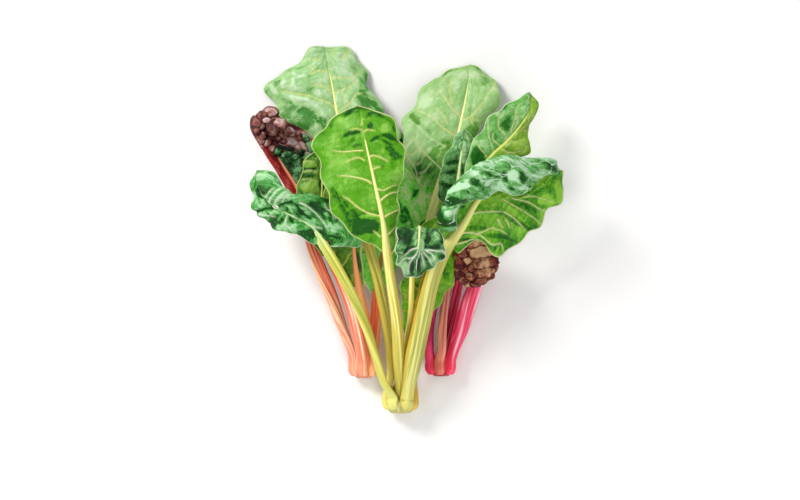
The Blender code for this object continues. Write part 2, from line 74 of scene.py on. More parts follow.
class Wire:
    """A shader value that can stand in arithmetic."""

    def __init__(self, graph: "Graph", socket: bpy.types.NodeSocket) -> None:
        """Keeps the output socket and the graph it belongs to."""
        self.graph = graph
        self.socket = socket

    def __add__(self, other: "Value") -> "Wire":
        """Sum."""
        return self.graph.math("ADD", self, other)

    def __radd__(self, other: "Value") -> "Wire":
        """Sum with a plain number first."""
        return self.graph.math("ADD", other, self)

    def __sub__(self, other: "Value") -> "Wire":
        """Difference."""
        return self.graph.math("SUBTRACT", self, other)

    def __rsub__(self, other: "Value") -> "Wire":
        """Difference with a plain number first."""
        return self.graph.math("SUBTRACT", other, self)

    def __mul__(self, other: "Value") -> "Wire":
        """Product."""
        return self.graph.math("MULTIPLY", self, other)

    def __rmul__(self, other: "Value") -> "Wire":
        """Product with a plain number first."""
        return self.graph.math("MULTIPLY", other, self)

    def __abs__(self) -> "Wire":
        """Size without sign."""
        return self.graph.math("ABSOLUTE", self)

    def step(self, low: "Value", high: "Value") -> "Wire":
        """A soft step from 0 at low to 1 at high, which may be the lower of the two."""
        inputs = {0: self, 1: low, 2: high, 3: 0.0, 4: 1.0}
        return self.graph.node("ShaderNodeMapRange", inputs, interpolation_type="SMOOTHSTEP")


Value = Union[Wire, float]
Paint = Union[Wire, Colour]


class Graph:
    """The nodes of one material, built from expressions."""

    def __init__(self, name: str) -> None:
        """Starts a material with its standard shader.

        Args:
            name: The material's name.
        """
        self.material = bpy.data.materials.new(name)
        self.material.use_nodes = True
        self.tree = self.material.node_tree
        self.shader = self.tree.nodes["Principled BSDF"]

    def node(self, kind: str, inputs: dict, output: Union[int, str] = 0, **settings: object) -> Wire:
        """Adds a node: its settings first, then the values or links of its sockets.

        Args:
            kind: The node's type.
            inputs: Socket name or number to a plain value or a wire.
            output: The socket that is passed on.
            **settings: The node's own properties.

        Returns:
            The chosen output.
        """
        made = self.tree.nodes.new(kind)
        for key, value in settings.items():
            setattr(made, key, value)
        for key, value in inputs.items():
            self.feed(made.inputs[key], value)
        return Wire(self, made.outputs[output])

    def feed(self, socket: bpy.types.NodeSocket, value: Union[Wire, float, tuple]) -> None:
        """Links a wire to the socket, or sets its plain value.

        Args:
            socket: An input socket.
            value: What it is given.
        """
        if isinstance(value, Wire):
            self.tree.links.new(value.socket, socket)
        elif socket.type == "RGBA":
            socket.default_value = (*value, 1.0)
        else:
            socket.default_value = value

    def math(self, operation: str, *values: Value) -> Wire:
        """One step of arithmetic on numbers."""
        return self.node("ShaderNodeMath", dict(enumerate(values)), operation=operation)

    def mark(self, name: str) -> Wire:
        """A number kept on the mesh's points, such as the distance to the margin."""
        return self.node("ShaderNodeAttribute", {}, "Fac", attribute_name=name)

    def place(self) -> Wire:
        """The point's place on the piece, in metres."""
        return self.node("ShaderNodeTexCoord", {}, "Object")

    def vector(self, x: Value, y: Value, z: Value = 0.0) -> Wire:
        """Three numbers as one vector."""
        return self.node("ShaderNodeCombineXYZ", {0: x, 1: y, 2: z})

    def noise(self, where: Wire, scale: float, detail: float = 2.0, rough: float = 0.5) -> Wire:
        """Cloudy noise about 0.5: its scale, how many finer clouds lie over the first, and how strong."""
        inputs = {"Vector": where, "Scale": scale, "Detail": detail, "Roughness": rough}
        return self.node("ShaderNodeTexNoise", inputs, "Fac")

    def edges(self, where: Wire, scale: float) -> Wire:
        """Distance from the lines of an irregular net, in its own cells."""
        inputs = {"Vector": where, "Scale": scale}
        return self.node("ShaderNodeTexVoronoi", inputs, "Distance", feature="DISTANCE_TO_EDGE")

    def blend(self, share: Value, first: Paint, second: Paint) -> Wire:
        """Mixes two colours by the share of the second."""
        return self.node("ShaderNodeMix", {0: share, 6: first, 7: second}, 2, data_type="RGBA")

    def bump(self, height: Wire, depth_mm: float, strength: float = 1.0) -> Wire:
        """The normal bent by relief too fine for the mesh, of this depth and strength."""
        inputs = {"Height": height, "Distance": depth_mm * MM, "Strength": strength}
        return self.node("ShaderNodeBump", inputs)

    def finish(self, colour: Wire, rough: Value, normal: Optional[Wire] = None,
               **plain: float) -> bpy.types.Material:
        """Joins the results to the shader.

        Args:
            colour: Base colour.
            rough: Roughness.
            normal: Bent normal.
            **plain: Shader sockets with one value all over, with _ for a space.

        Returns:
            The material.
        """
        self.feed(self.shader.inputs["Base Color"], colour)
        self.feed(self.shader.inputs["Roughness"], rough)
        if normal is not None:
            self.feed(self.shader.inputs["Normal"], normal)
        for key, value in plain.items():
            self.feed(self.shader.inputs[key.replace("_", " ")], value)
        return self.material


# ---- curves and noise


def smooth_step(x: Array) -> Array:
    """0 to 1 with level ends."""
    x = np.clip(x, 0.0, 1.0)
    return x * x * (3 - 2 * x)


def unit(v: Array) -> Array:
    """Vectors of length 1 the same way."""
    return v / np.maximum(np.linalg.norm(v, axis=-1, keepdims=True), 1e-9)


def curve_between(a: Array, b: Array, c: Array, d: Array, t: Array) -> Array:
    """The Catmull-Rom curve from b to c, with a before and d after them, at these shares of the way."""
    return 0.5 * (2 * b + (c - a) * t + (2 * a - 5 * b + 4 * c - d) * t**2 + (3 * b - a - 3 * c + d) * t**3)


ROUTE_STEPS = 24


def spline(points: Union[Line, list]) -> Array:
    """Draws a smooth curve.

    Args:
        points: The points that it goes through.

    Returns:
        The curve, as many short steps.
    """
    points = np.asarray(points, float)
    knots = np.vstack([2 * points[0] - points[1], points, 2 * points[-1] - points[-2]])
    t = np.arange(ROUTE_STEPS)[:, None] / ROUTE_STEPS
    pieces = [curve_between(*four, t) for four in zip(knots, knots[1:], knots[2:], knots[3:])]
    return np.vstack([*pieces, points[-1:]])


def run_along(curve: Array) -> Array:
    """The distance of each step of the curve from its start."""
    return np.concatenate([[0.0], np.cumsum(np.linalg.norm(np.diff(curve, axis=0), axis=1))])


def run_over(sheet: Array, axis: int) -> Array:
    """The distance of each point of a grid from where its row or column starts, over the grid."""
    steps = np.linalg.norm(np.diff(sheet, axis=axis), axis=-1)
    return np.insert(np.cumsum(steps, axis=axis), 0, 0.0, axis=axis)


def read(curve: Array, at: Array, distance: Array) -> Array:
    """The curve's values at these distances."""
    return np.stack([np.interp(distance, at, curve[:, k]) for k in range(3)], axis=-1)


def between(sheet: Array, row: Array, share: Array) -> Array:
    """Reads a grid of points between its rows and columns.

    Args:
        sheet: The grid.
        row: Shares of the way along its rows, 0 to 1.
        share: The same across its columns.

    Returns:
        The points.
    """
    r, c = np.clip(row, 0, 1) * (len(sheet) - 1), np.clip(share, 0, 1) * (sheet.shape[1] - 1)
    i, j = np.minimum(r.astype(int), len(sheet) - 2), np.minimum(c.astype(int), sheet.shape[1] - 2)
    u, v = (r - i)[:, None], (c - j)[:, None]
    low = sheet[i, j] * (1 - v) + sheet[i, j + 1] * v
    high = sheet[i + 1, j] * (1 - v) + sheet[i + 1, j + 1] * v
    return low * (1 - u) + high * u


def distance_from(points: Array, way: Array) -> Array:
    """How far each point is from the nearest of a way's points."""
    return np.linalg.norm(points[..., None, :] - way, axis=-1).min(axis=-1)


def draw(seed: int, *cells: Array) -> Array:
    """A fixed draw for each cell of a lattice.

    Args:
        seed: Chooses the set of draws.
        *cells: Whole-number places along each axis.

    Returns:
        Numbers from 0 to 1.
    """
    value = np.full(cells[0].shape, (seed * 2654435761) % 2**32, np.uint32)
    for cell in cells:
        value = (value ^ cell.astype(np.int64).astype(np.uint32)) * np.uint32(2654435761)
        value = value ^ (value >> np.uint32(15))
    value = value * np.uint32(2246822519)
    return (value ^ (value >> np.uint32(13))) / 4294967295.0


def clouds(points: Array, size: float, seed: int) -> Array:
    """Smooth noise in space.

    Args:
        points: Where to read it, in millimetres.
        size: Width of one cloud.
        seed: Chooses the pattern.

    Returns:
        Numbers from -1 to 1.
    """
    scaled = points / size
    cell = np.floor(scaled)
    share = smooth_step(scaled - cell)
    total = np.zeros(points.shape[:-1])
    for corner in np.ndindex(2, 2, 2):
        weight = np.prod(np.where(np.array(corner) == 1, share, 1 - share), axis=-1)
        total += weight * draw(seed, *np.moveaxis(cell + corner, -1, 0))
    return 2 * total - 1


def cells(x: Array, y: Array, size: float, seed: int) -> tuple[Array, Array]:
    """A net of rounded cells over a flat sheet.

    Args:
        x: First place on the sheet, in millimetres.
        y: Second place.
        size: Width of one cell.
        seed: Chooses the net.

    Returns:
        The distance from the net's nearest line, and a fixed draw for each cell.
    """
    x, y = x / size, y / size
    near = np.full(x.shape, 9.0)
    second = np.full(x.shape, 9.0)
    number = np.zeros(x.shape)
    for dx, dy in np.ndindex(3, 3):
        i, j = np.floor(x) + dx - 1, np.floor(y) + dy - 1
        away = np.hypot(i + 0.15 + 0.7 * draw(seed, i, j) - x, j + 0.15 + 0.7 * draw(seed + 1, i, j) - y)
        number = np.where(away < near, draw(seed + 2, i, j), number)
        second = np.minimum(second, np.maximum(away, near))
        near = np.minimum(near, away)
    return (second - near) * size / 2, number


# ---- the bunch's layout


@dataclass(frozen=True)
class Head:
    """One cut head: the short crown that its stalks stand on."""

    name: str
    face: Point
    radius: float
    length: float


@dataclass(frozen=True)
class Leaf:
    """One leaf of a head, laid out as its solids are."""

    name: str
    head: Head
    seat: tuple[float, float]
    route: Line
    blade_from: int
    minus: tuple[Line, ...]
    plus: tuple[Line, ...]
    stalk: tuple[float, float, float]
    thickness: tuple[float, float, float]
    roll: tuple[float, float, float]
    arch: float = 4.0
    ruffle: tuple[float, float, float] = (4.0, 2.5, 0.0)
    fan: float = 0.86


SEAT_GAP = 0.4
SEAT_RUN = 9.0
MIDRIB_ROWS = 0.93
RIB_TIP_WIDTH = 2.0
RIB_TIP_HEIGHT = 1.8


class Axis:
    """The smooth centreline of a leaf, with its side and upper directions, by distance along it."""

    def __init__(self, leaf: Leaf) -> None:
        """Works out the centreline from the crown to the tip.

        Args:
            leaf: The leaf.
        """
        self.leaf = leaf
        angle, distance = math.radians(leaf.seat[0]), leaf.seat[1]
        x, y, z = leaf.head.face
        seat = np.array([x + distance * math.cos(angle), y + SEAT_GAP, z + distance * math.sin(angle)])
        self.points = spline([seat, seat + (0, SEAT_RUN, 0), *leaf.route])
        self.at = run_along(self.points)
        self.length = self.at[-1]
        self.blade_start = self.at[(leaf.blade_from + 2) * ROUTE_STEPS]
        self.blade_length = self.length - self.blade_start
        self.tangents = unit(np.gradient(self.points, self.at, axis=0))
        self.uppers = self.carried_upper()

    def carried_upper(self) -> Array:
        """The upper direction carried along the curve without twist, then turned by the leaf's roll.

        Returns:
            The direction at each step of the curve.
        """
        upper = np.empty_like(self.tangents)
        upper[0] = unit(np.array([0, 0, 1.0]) - self.tangents[0, 2] * self.tangents[0])
        for i in range(1, len(upper)):
            upper[i] = unit(upper[i - 1] - (upper[i - 1] @ self.tangents[i]) * self.tangents[i])
        seat, start, tip = self.leaf.roll
        along_stalk = smooth_step(self.at / self.blade_start)
        along_blade = smooth_step((self.at - self.blade_start) / self.blade_length)
        roll = np.radians(seat + (start - seat) * along_stalk + (tip - start) * along_blade)[:, None]
        return upper * np.cos(roll) + np.cross(self.tangents, upper) * np.sin(roll)

    def frame(self, distance: Array) -> tuple[Array, Array, Array, Array]:
        """Reads the centreline.

        Args:
            distance: Distances along the centreline.

        Returns:
            Position, side, upper and forward directions there.
        """
        tangent = unit(read(self.tangents, self.at, distance))
        side = unit(np.cross(tangent, read(self.uppers, self.at, distance)))
        return read(self.points, self.at, distance), side, np.cross(side, tangent), tangent

    def fanned_end(self, share: Array) -> Array:
        """The distance at which the last row, which runs along the axis, has this share of its width."""
        return self.blade_start + (self.leaf.fan + (1 - self.leaf.fan) * share) * self.blade_length

    def stalk_size(self, distance: Array) -> tuple[Array, Array]:
        """The size of the stalk, and of the midrib that it runs on as.

        Args:
            distance: Distances along the centreline.

        Returns:
            Width and thickness there.
        """
        rib_end = self.blade_start + MIDRIB_ROWS * self.leaf.fan * self.blade_length
        stations = (0.0, self.blade_start / 3, self.blade_start, rib_end)
        width = np.interp(distance, stations, (*self.leaf.stalk, RIB_TIP_WIDTH))
        return width, np.interp(distance, stations, (*self.leaf.thickness, RIB_TIP_HEIGHT))


YELLOW = Head("yellow_crown", (1.0, 12.0, 17.0), 20.5, 12.0)
CORAL = Head("coral_crown", (-43.0, 52.0, 12.8), 15.6, 10.0)
CRIMSON = Head("crimson_crown", (50.0, 54.0, 12.8), 15.6, 10.0)
HEADS = (YELLOW, CORAL, CRIMSON)

LEAVES = (
    Leaf("yellow_front", YELLOW, (90, 2), ((-1, 60, 44), (-4, 108, 66), (-10, 152, 85), (-15, 190, 98),
        (-20, 229, 107), (-31, 280, 112), (-41, 325, 109), (-50, 367, 98)), blade_from=3,
        minus=(((-5, 192, 96), (-4, 212, 99), (-4, 240, 103), (0, 268, 106), (5, 300, 106), (1, 328, 103),
        (-9, 348, 100), (-26, 361, 98)),), plus=(((-23, 194, 95), (-42, 208, 96), (-68, 224, 98),
        (-80, 242, 101), (-87, 268, 103), (-98, 300, 102), (-101, 318, 101), (-95, 336, 99), (-82, 350, 97),
        (-64, 362, 96)),), stalk=(12, 15, 11), thickness=(7, 9, 8), roll=(180, 180, 180), arch=-4,
        ruffle=(3, 3.5, 0.6)),
    Leaf("yellow_right", YELLOW, (60, 14.5), ((15, 60, 50), (26, 110, 64), (37, 157, 78), (47, 184, 85),
        (56, 201, 88), (66, 214, 91), (77, 229, 94), (89, 250, 96), (105, 269, 96), (130, 283, 94),
        (160, 289, 86), (194, 291, 72)), blade_from=4, minus=(((69, 192, 86), (84, 202, 85), (100, 203, 78),
        (126, 190, 68), (147, 212, 70), (170, 230, 66), (187, 254, 63), (195, 277, 66)),),
        plus=(((48, 214, 99), (46, 232, 107), (56, 260, 113), (84, 290, 113), (116, 304, 107),
        (150, 303, 100), (180, 301, 88)), ((55, 218, 114), (56, 236, 125), (68, 256, 130), (94, 279, 131),
        (122, 290, 127), (150, 289, 116), (178, 296, 97)), ((64, 220, 112), (69, 238, 121), (84, 252, 125),
        (106, 261, 124), (128, 261, 120), (147, 264, 112), (166, 275, 103), (181, 289, 88))),
        stalk=(14, 24, 17), thickness=(9, 13, 10), roll=(210, 190, 170), arch=-6, ruffle=(5, 3.5, 0)),
    Leaf("yellow_left", YELLOW, (125, 14.5), ((-18, 40, 42), (-26, 67, 52), (-36, 97, 61), (-50, 130, 69),
        (-70, 167, 77), (-92, 204, 84), (-104, 222, 88), (-126, 235, 91), (-149, 247, 89), (-166, 264, 81),
        (-172, 287, 70)), blade_from=5, minus=(((-102, 202, 84), (-118, 211, 87), (-136, 216, 88),
        (-151, 222, 86), (-165, 233, 82), (-175, 252, 76), (-178, 271, 71)),), plus=(((-80, 210, 83),
        (-62, 210, 79), (-70, 228, 82), (-90, 241, 90), (-110, 249, 103), (-132, 257, 109), (-150, 268, 104),
        (-166, 280, 90)), ((-83, 200, 81), (-64, 198, 77), (-46, 202, 75), (-41, 216, 76), (-56, 236, 79),
        (-76, 250, 84), (-100, 260, 95), (-126, 264, 100), (-142, 277, 98), (-158, 289, 90),
        (-170, 292, 80))), stalk=(14, 15, 12), thickness=(8, 9, 8), roll=(110, 20, 0),
        ruffle=(3, 3.5, 1)),
    Leaf("yellow_tall_left", YELLOW, (180, 14.5), ((-9, 45, 22), (-10, 71, 30), (-14, 102, 38),
        (-21, 138, 43), (-27, 165, 45), (-38, 203, 46), (-48, 240, 44), (-60, 290, 36), (-74, 352, 25),
        (-82, 396, 16), (-92, 440, 5)), blade_from=7, minus=(((-74, 288, 32), (-97, 307, 24), (-118, 332, 19),
        (-142, 357, 14), (-160, 382, 9), (-150, 402, 6), (-124, 420, 4), (-112, 436, 4)),),
        plus=(((-45, 285, 35), (-20, 298, 33), (0, 322, 28), (-8, 350, 22), (-28, 376, 17), (-38, 392, 13),
        (-40, 412, 8), (-54, 430, 5), (-72, 439, 5)),), stalk=(11, 14, 11), thickness=(8, 9, 8),
        roll=(90, 0, 0), ruffle=(3, 3.5, 0.3)),
    Leaf("yellow_tall_right", YELLOW, (312, 14.5), ((8, 60, 11), (16, 120, 18), (26, 180, 27), (38, 240, 36),
        (52, 286, 40), (66, 322, 36), (74, 355, 28), (80, 386, 18), (83, 418, 6)), blade_from=4,
        minus=(((42, 272, 37), (24, 276, 36), (8, 296, 36), (2, 322, 32), (4, 346, 27), (13, 368, 21),
        (28, 389, 15), (48, 405, 9), (66, 415, 6)),), plus=(((60, 284, 38), (73, 310, 36), (90, 334, 31),
        (107, 354, 25), (118, 370, 20), (120, 384, 16), (115, 397, 11), (102, 411, 7)),), stalk=(11, 13, 10),
        thickness=(7, 8, 8), roll=(-42, 0, 0), ruffle=(3, 3, 0.8)),
    Leaf("yellow_inner", YELLOW, (6, 14.5), ((14, 45, 22), (12, 84, 31), (16, 116, 38), (23, 150, 43),
        (30, 174, 47), (40, 206, 52), (47, 236, 56)), blade_from=1, minus=(((6, 90, 31), (3, 114, 37),
        (1, 140, 42), (3, 166, 46), (11, 192, 50), (22, 216, 54), (34, 232, 56)),), plus=(((19, 88, 31),
        (31, 108, 36), (46, 130, 42), (60, 150, 48), (69, 172, 52), (68, 196, 54), (62, 220, 56)),),
        stalk=(10, 9, 6), thickness=(7, 7, 6), roll=(-96, 0, 0), arch=2, ruffle=(2.5, 4, 0)),
    Leaf("yellow_curled", YELLOW, (232, 14.5), ((2, 45, 24), (8, 80, 42), (13, 118, 60), (14, 150, 76),
        (15, 180, 92), (18, 203, 108), (21, 217, 118), (23, 224, 130), (23, 218, 141), (22, 203, 144),
        (20, 183, 136), (18, 163, 120)), blade_from=5, minus=(((26, 202, 108), (39, 216, 118), (46, 221, 130),
        (50, 210, 142), (54, 192, 139), (46, 180, 131), (32, 169, 121)),), plus=(((10, 202, 108),
        (1, 215, 119), (-3, 219, 131), (-4, 208, 142), (-5, 188, 137), (0, 173, 127), (10, 164, 120)),),
        stalk=(9, 8, 6), thickness=(7, 6, 5), roll=(38, 180, 180), arch=-1, ruffle=(3, 3.5, 0),
        fan=0.64),
    Leaf("coral_outer", CORAL, (170, 10.2), ((-56, 76, 18), (-66, 102, 22), (-79, 136, 28), (-94, 170, 34),
        (-106, 203, 38), (-113, 235, 39), (-122, 265, 38), (-137, 291, 37), (-153, 318, 38), (-164, 342, 44),
        (-165, 359, 54), (-160, 363, 66), (-155, 351, 72)), blade_from=5, minus=(((-124, 241, 39),
        (-134, 265, 39), (-149, 291, 41), (-165, 316, 44), (-176, 334, 50), (-179, 347, 59), (-174, 356, 69),
        (-164, 349, 76)),), plus=(((-106, 240, 38), (-96, 262, 36), (-92, 288, 35), (-94, 310, 35),
        (-103, 328, 38), (-120, 342, 42), (-138, 350, 48), (-146, 358, 58), (-147, 352, 70)),),
        stalk=(13, 21, 10), thickness=(9, 11, 8), roll=(100, 0, 0), arch=3, ruffle=(2.5, 5, 0)),
    Leaf("coral_left", CORAL, (98, 10.2), ((-46, 76, 31), (-51, 102, 35), (-60, 134, 40), (-73, 165, 44),
        (-85, 190, 48), (-91, 218, 51), (-93, 250, 53), (-92, 285, 53), (-87, 318, 49)), blade_from=4,
        minus=(((-78, 195, 46), (-67, 218, 47), (-62, 250, 48), (-64, 285, 48), (-74, 308, 47)),),
        plus=(((-93, 188, 47), (-109, 212, 50), (-121, 244, 52), (-122, 268, 52), (-117, 292, 51),
        (-104, 311, 49)),), stalk=(12, 18, 9), thickness=(8, 9, 7), roll=(172, 180, 180), arch=-3,
        ruffle=(3, 3, 0.5)),
    Leaf("coral_middle", CORAL, (26, 10.2), ((-34, 76, 22), (-38, 96, 26), (-43, 122, 31), (-49, 150, 37),
        (-53, 176, 46), (-55, 202, 57), (-55, 238, 70), (-52, 278, 76), (-48, 314, 77), (-46, 344, 70)),
        blade_from=3, minus=(((-43, 154, 38), (-45, 178, 47), (-48, 202, 59), (-38, 226, 70), (-25, 250, 75),
        (-19, 282, 77), (-26, 318, 76)),), plus=(((-58, 153, 38), (-66, 166, 44), (-77, 188, 57),
        (-85, 208, 65), (-90, 240, 73), (-86, 282, 78), (-70, 322, 76)),), stalk=(12, 13, 9),
        thickness=(8, 9, 7), roll=(244, 180, 180), arch=-2, ruffle=(3, 3, 1.2)),
    Leaf("coral_inner", CORAL, (318, 9.4), ((-33, 76, 12), (-30, 108, 16), (-28, 146, 20), (-22, 190, 24),
        (-12, 228, 27), (-6, 268, 25), (-2, 306, 19), (0, 338, 12)), blade_from=2, minus=(((-35, 144, 20),
        (-44, 162, 24), (-46, 190, 27), (-42, 230, 27), (-34, 275, 23), (-20, 318, 15)),),
        plus=(((-20, 149, 20), (-10, 166, 21), (6, 186, 19), (26, 209, 17), (42, 238, 16), (46, 268, 15),
        (38, 300, 15), (20, 324, 14)),), stalk=(11, 15, 10), thickness=(8, 9, 7), roll=(-44, 0, 0), arch=1,
        ruffle=(2.5, 4, 0)),
    Leaf("crimson_outer", CRIMSON, (30, 10.2), ((63, 76, 18), (71, 98, 22), (81, 128, 26), (90, 154, 29),
        (95, 180, 31), (97, 197, 37), (97, 205, 47), (95, 200, 57), (92, 184, 62), (90, 168, 60),
        (88, 153, 52)), blade_from=5, minus=(((106, 195, 38), (113, 203, 46), (116, 196, 56), (117, 178, 60),
        (112, 163, 56), (100, 155, 52)),), plus=(((88, 195, 38), (76, 204, 46), (69, 198, 57), (66, 182, 62),
        (68, 166, 58), (78, 155, 52)),), stalk=(13, 24, 14), thickness=(9, 11, 8), roll=(-120, -180, -180),
        arch=-3, ruffle=(2.5, 4, 0), fan=0.7),
    Leaf("crimson_tall", CRIMSON, (314, 9.6), ((55, 78, 10), (59, 100, 12), (65, 130, 15), (72, 166, 22),
        (78, 205, 34), (84, 245, 52), (94, 282, 66), (105, 304, 72), (126, 324, 72), (142, 342, 68),
        (154, 362, 61), (155, 384, 51)), blade_from=5, minus=(((76, 253, 57), (75, 280, 67), (82, 312, 72),
        (102, 348, 72), (120, 364, 70), (138, 376, 62)),), plus=(((92, 246, 52), (110, 272, 60),
        (126, 292, 66), (142, 302, 66), (154, 314, 64), (152, 332, 62), (160, 350, 58), (163, 372, 52)),),
        stalk=(11, 12, 9), thickness=(7, 8, 7), roll=(-42, 0, 0), arch=2, ruffle=(3.5, 3.5, 0)),
    Leaf("crimson_inner", CRIMSON, (176, 10.2), ((38, 78, 17), (38, 104, 18), (42, 134, 20), (48, 172, 26),
        (57, 212, 40), (64, 244, 49), (69, 280, 54), (73, 312, 55), (77, 340, 50)), blade_from=5,
        minus=(((56, 246, 49), (45, 262, 52), (47, 286, 53), (56, 312, 53), (68, 334, 51)),),
        plus=(((71, 243, 46), (83, 262, 47), (90, 288, 50), (91, 314, 51), (86, 332, 50)),),
        stalk=(13, 15, 9), thickness=(10, 11, 7), roll=(94, 0, 0), arch=1, ruffle=(2, 2.5, 0)),
    Leaf("crimson_back", CRIMSON, (104, 10.2), ((50, 78, 27), (51, 104, 26), (54, 136, 26), (60, 172, 22),
        (70, 210, 16), (80, 250, 11), (90, 290, 8), (98, 334, 5)), blade_from=4, minus=(((78, 210, 15),
        (98, 230, 10), (112, 262, 6), (120, 296, 4), (114, 324, 4)),), plus=(((62, 212, 15), (48, 232, 11),
        (46, 266, 9), (56, 302, 7), (78, 330, 5)),), stalk=(11, 10, 8), thickness=(7, 8, 6),
        roll=(166, 180, 180), arch=-1, ruffle=(1.5, 2.5, 0)),
)


# ---- finishes


@dataclass(frozen=True)
class Tones:
    """The greens of one face of a blade."""

    deep: Colour
    middle: Colour
    light: Colour
    vein: Colour
    edge: Colour


class Face(Enum):
    """The two faces of a blade: veins are sunk in the upper one and stand out from the under one."""

    UPPER = -1.0
    UNDER = 1.0


@dataclass(frozen=True)
class BladeFinish:
    """The look of one face of a blade."""

    tones: Tones
    face: Face
    base: Optional[Tones] = None  # of the ground before base_end
    base_end: float = 0.3
    net_size: float = 5.0
    net_show: float = 0.15
    contrast: float = 1.0
    halo: float = 0.35
    rim: float = 0.9
    gap: Optional[Colour] = None  # painted into the creases between puffs and lobes: painted shade in the deep tone if not given, a painted highlight line where the given colour is pale
    rough: float = 0.42
    coat: float = 0.06
    seed: float = 0.0

    def paint(self, graph: Graph, tones: Tones, tone: Wire, near: Wire, edge: Wire) -> Wire:
        """Lays one set of tones over the face.

        Args:
            graph: The material's graph.
            tones: The colours.
            tone: How light each point is, about 0.5.
            near: Distance to the nearest side vein.
            edge: Distance to the margin.

        Returns:
            The colour.
        """
        colour = graph.blend(tone.step(0.53, 0.95), tones.middle, tones.light)
        colour = graph.blend(tone.step(0.52, 0.2), colour, tones.deep)
        # The crease mark paints shade into the creases between puffs and lobes in the deep tone; a pale given
        # colour paints a highlight line there instead.
        gap = graph.mark("crease").step(0.55, 0.1) * 0.8
        colour = graph.blend(gap, colour, self.gap or tones.deep)
        colour = graph.blend(near.step(2.6, 0.8) * self.halo, colour, tones.vein)
        return graph.blend(edge.step(1.5, 0.5) * self.rim, colour, tones.edge)

    def material(self, name: str) -> bpy.types.Material:
        """Builds the finish.

        Args:
            name: The material's name.

        Returns:
            The material.
        """
        graph = Graph(name)
        along, reach, edge, near = (graph.mark(key) for key in ("along", "reach", "edge", "near"))
        sheet = graph.vector(along * 0.01, reach * 0.01, self.seed)
        wash = graph.noise(sheet, 4.5, 1.5, 0.45)
        streaks = graph.noise(graph.vector(along * 0.05, reach * 0.012, self.seed), 3.0, 1.0, 0.5)
        grain = graph.noise(sheet, 110.0, 2.0, 0.6)
        warp = graph.noise(sheet, 30.0) * 0.04
        warped = graph.vector(along * 0.01 + warp, reach * 0.01 - warp, self.seed)
        net = graph.edges(warped, 100 / self.net_size)
        lines = net.step(0.09, 0.02)
        # Painted light and shade: the height mark lightens the tops of puffs and blisters and darkens their
        # hollows; the shade mark holds the painted highlights and painted shade of the folds, patches, puffs
        # and lobes, with some of the leaf's own lighter and darker greens.
        form = graph.mark("height") * 0.2 + graph.mark("shade") * 0.34 + lines * self.net_show
        mottle = (wash - 0.5) * 0.9 + (streaks - 0.5) * 0.3 + (grain - 0.5) * 0.2
        tone = 0.5 + (mottle + form) * self.contrast
        tone = tone + near.step(3.5, 0.5) * (0.2 * self.halo) - near.step(4.0, 12.0) * 0.05
        colour = self.paint(graph, self.tones, tone, near, edge)
        if self.base is not None:
            ground = graph.mark("ground").step(self.base_end + 0.05, self.base_end - 0.05)
            colour = graph.blend(ground, colour, self.paint(graph, self.base, tone, near, edge))
        relief = grain * 0.2 + lines * (0.4 * self.face.value)
        rough = self.rough + wash * 0.16
        return graph.finish(colour, rough, graph.bump(relief, 0.5, 0.8), Coat_Weight=self.coat,
                            Coat_Roughness=0.25, Specular_IOR_Level=0.2)


@dataclass(frozen=True)
class VeinFinish:
    """The look of the side veins of a blade."""

    root: Colour
    tip: Colour

    def material(self, name: str) -> bpy.types.Material:
        """Builds the finish.

        Args:
            name: The material's name.

        Returns:
            The material.
        """
        graph = Graph(name)
        mottle = graph.noise(graph.place(), 260.0, 2.0)
        colour = graph.blend(graph.mark("along") * 0.8 + mottle * 0.3, self.root, self.tip)
        return graph.finish(colour, 0.35 + mottle * 0.1, Coat_Weight=0.2)


@dataclass(frozen=True)
class StalkFinish:
    """The look of a stalk and the midrib it runs on as."""

    low: Colour
    middle: Colour
    light: Colour
    streak: Colour
    rib: Colour
    fade_from: float = 0.85
    lean: float = 0.0  # painted light and shade: how much lighter the minus side is, and darker the plus side
    side: Colour = (0.5, 0.35, 0.05)
    margin: float = 0.0  # how strongly the side colour shows along both edges
    rough: float = 0.36
    seed: float = 0.0

    def material(self, name: str) -> bpy.types.Material:
        """Builds the finish.

        Args:
            name: The material's name.

        Returns:
            The material.
        """
        graph = Graph(name)
        around, along, rise = graph.mark("around"), graph.mark("along"), graph.mark("rise")
        across = graph.mark("across")
        bands = graph.noise(graph.vector(around * 1.4 + self.seed, along * 0.006, self.seed), 1.5, 1.5, 0.5)
        strands = graph.noise(graph.vector(around * 4.0, along * 0.01, self.seed + 4.0), 2.0, 3.0, 0.6)
        fibre = graph.noise(graph.vector(around * 14.0, along * 0.03, self.seed), 2.0, 2.0, 0.6)
        # The last term paints light on one side of the stalk and shade on the other.
        tone = bands * 0.8 + strands * 0.4 - across * (0.1 * self.lean)
        colour = graph.blend(tone.step(0.6, 0.74), self.middle, self.light)
        colour = graph.blend(tone.step(0.58, 0.44), colour, self.streak)
        colour = graph.blend(abs(across).step(0.75, 0.95) * self.margin, colour, self.side)
        colour = graph.blend(rise.step(0.2, 0.0) * 0.5, colour, self.low)
        colour = graph.blend(rise.step(self.fade_from, self.fade_from + 0.4), colour, self.rib)
        colour = graph.blend(fibre.step(0.6, 0.85) * 0.2, colour, self.light)
        relief = strands * 0.5 + fibre * 0.35
        rough = self.rough + fibre * 0.18
        return graph.finish(colour, rough, graph.bump(relief, 0.4, 0.6), Coat_Weight=0.08, Coat_Roughness=0.2,
                            Specular_IOR_Level=0.3)


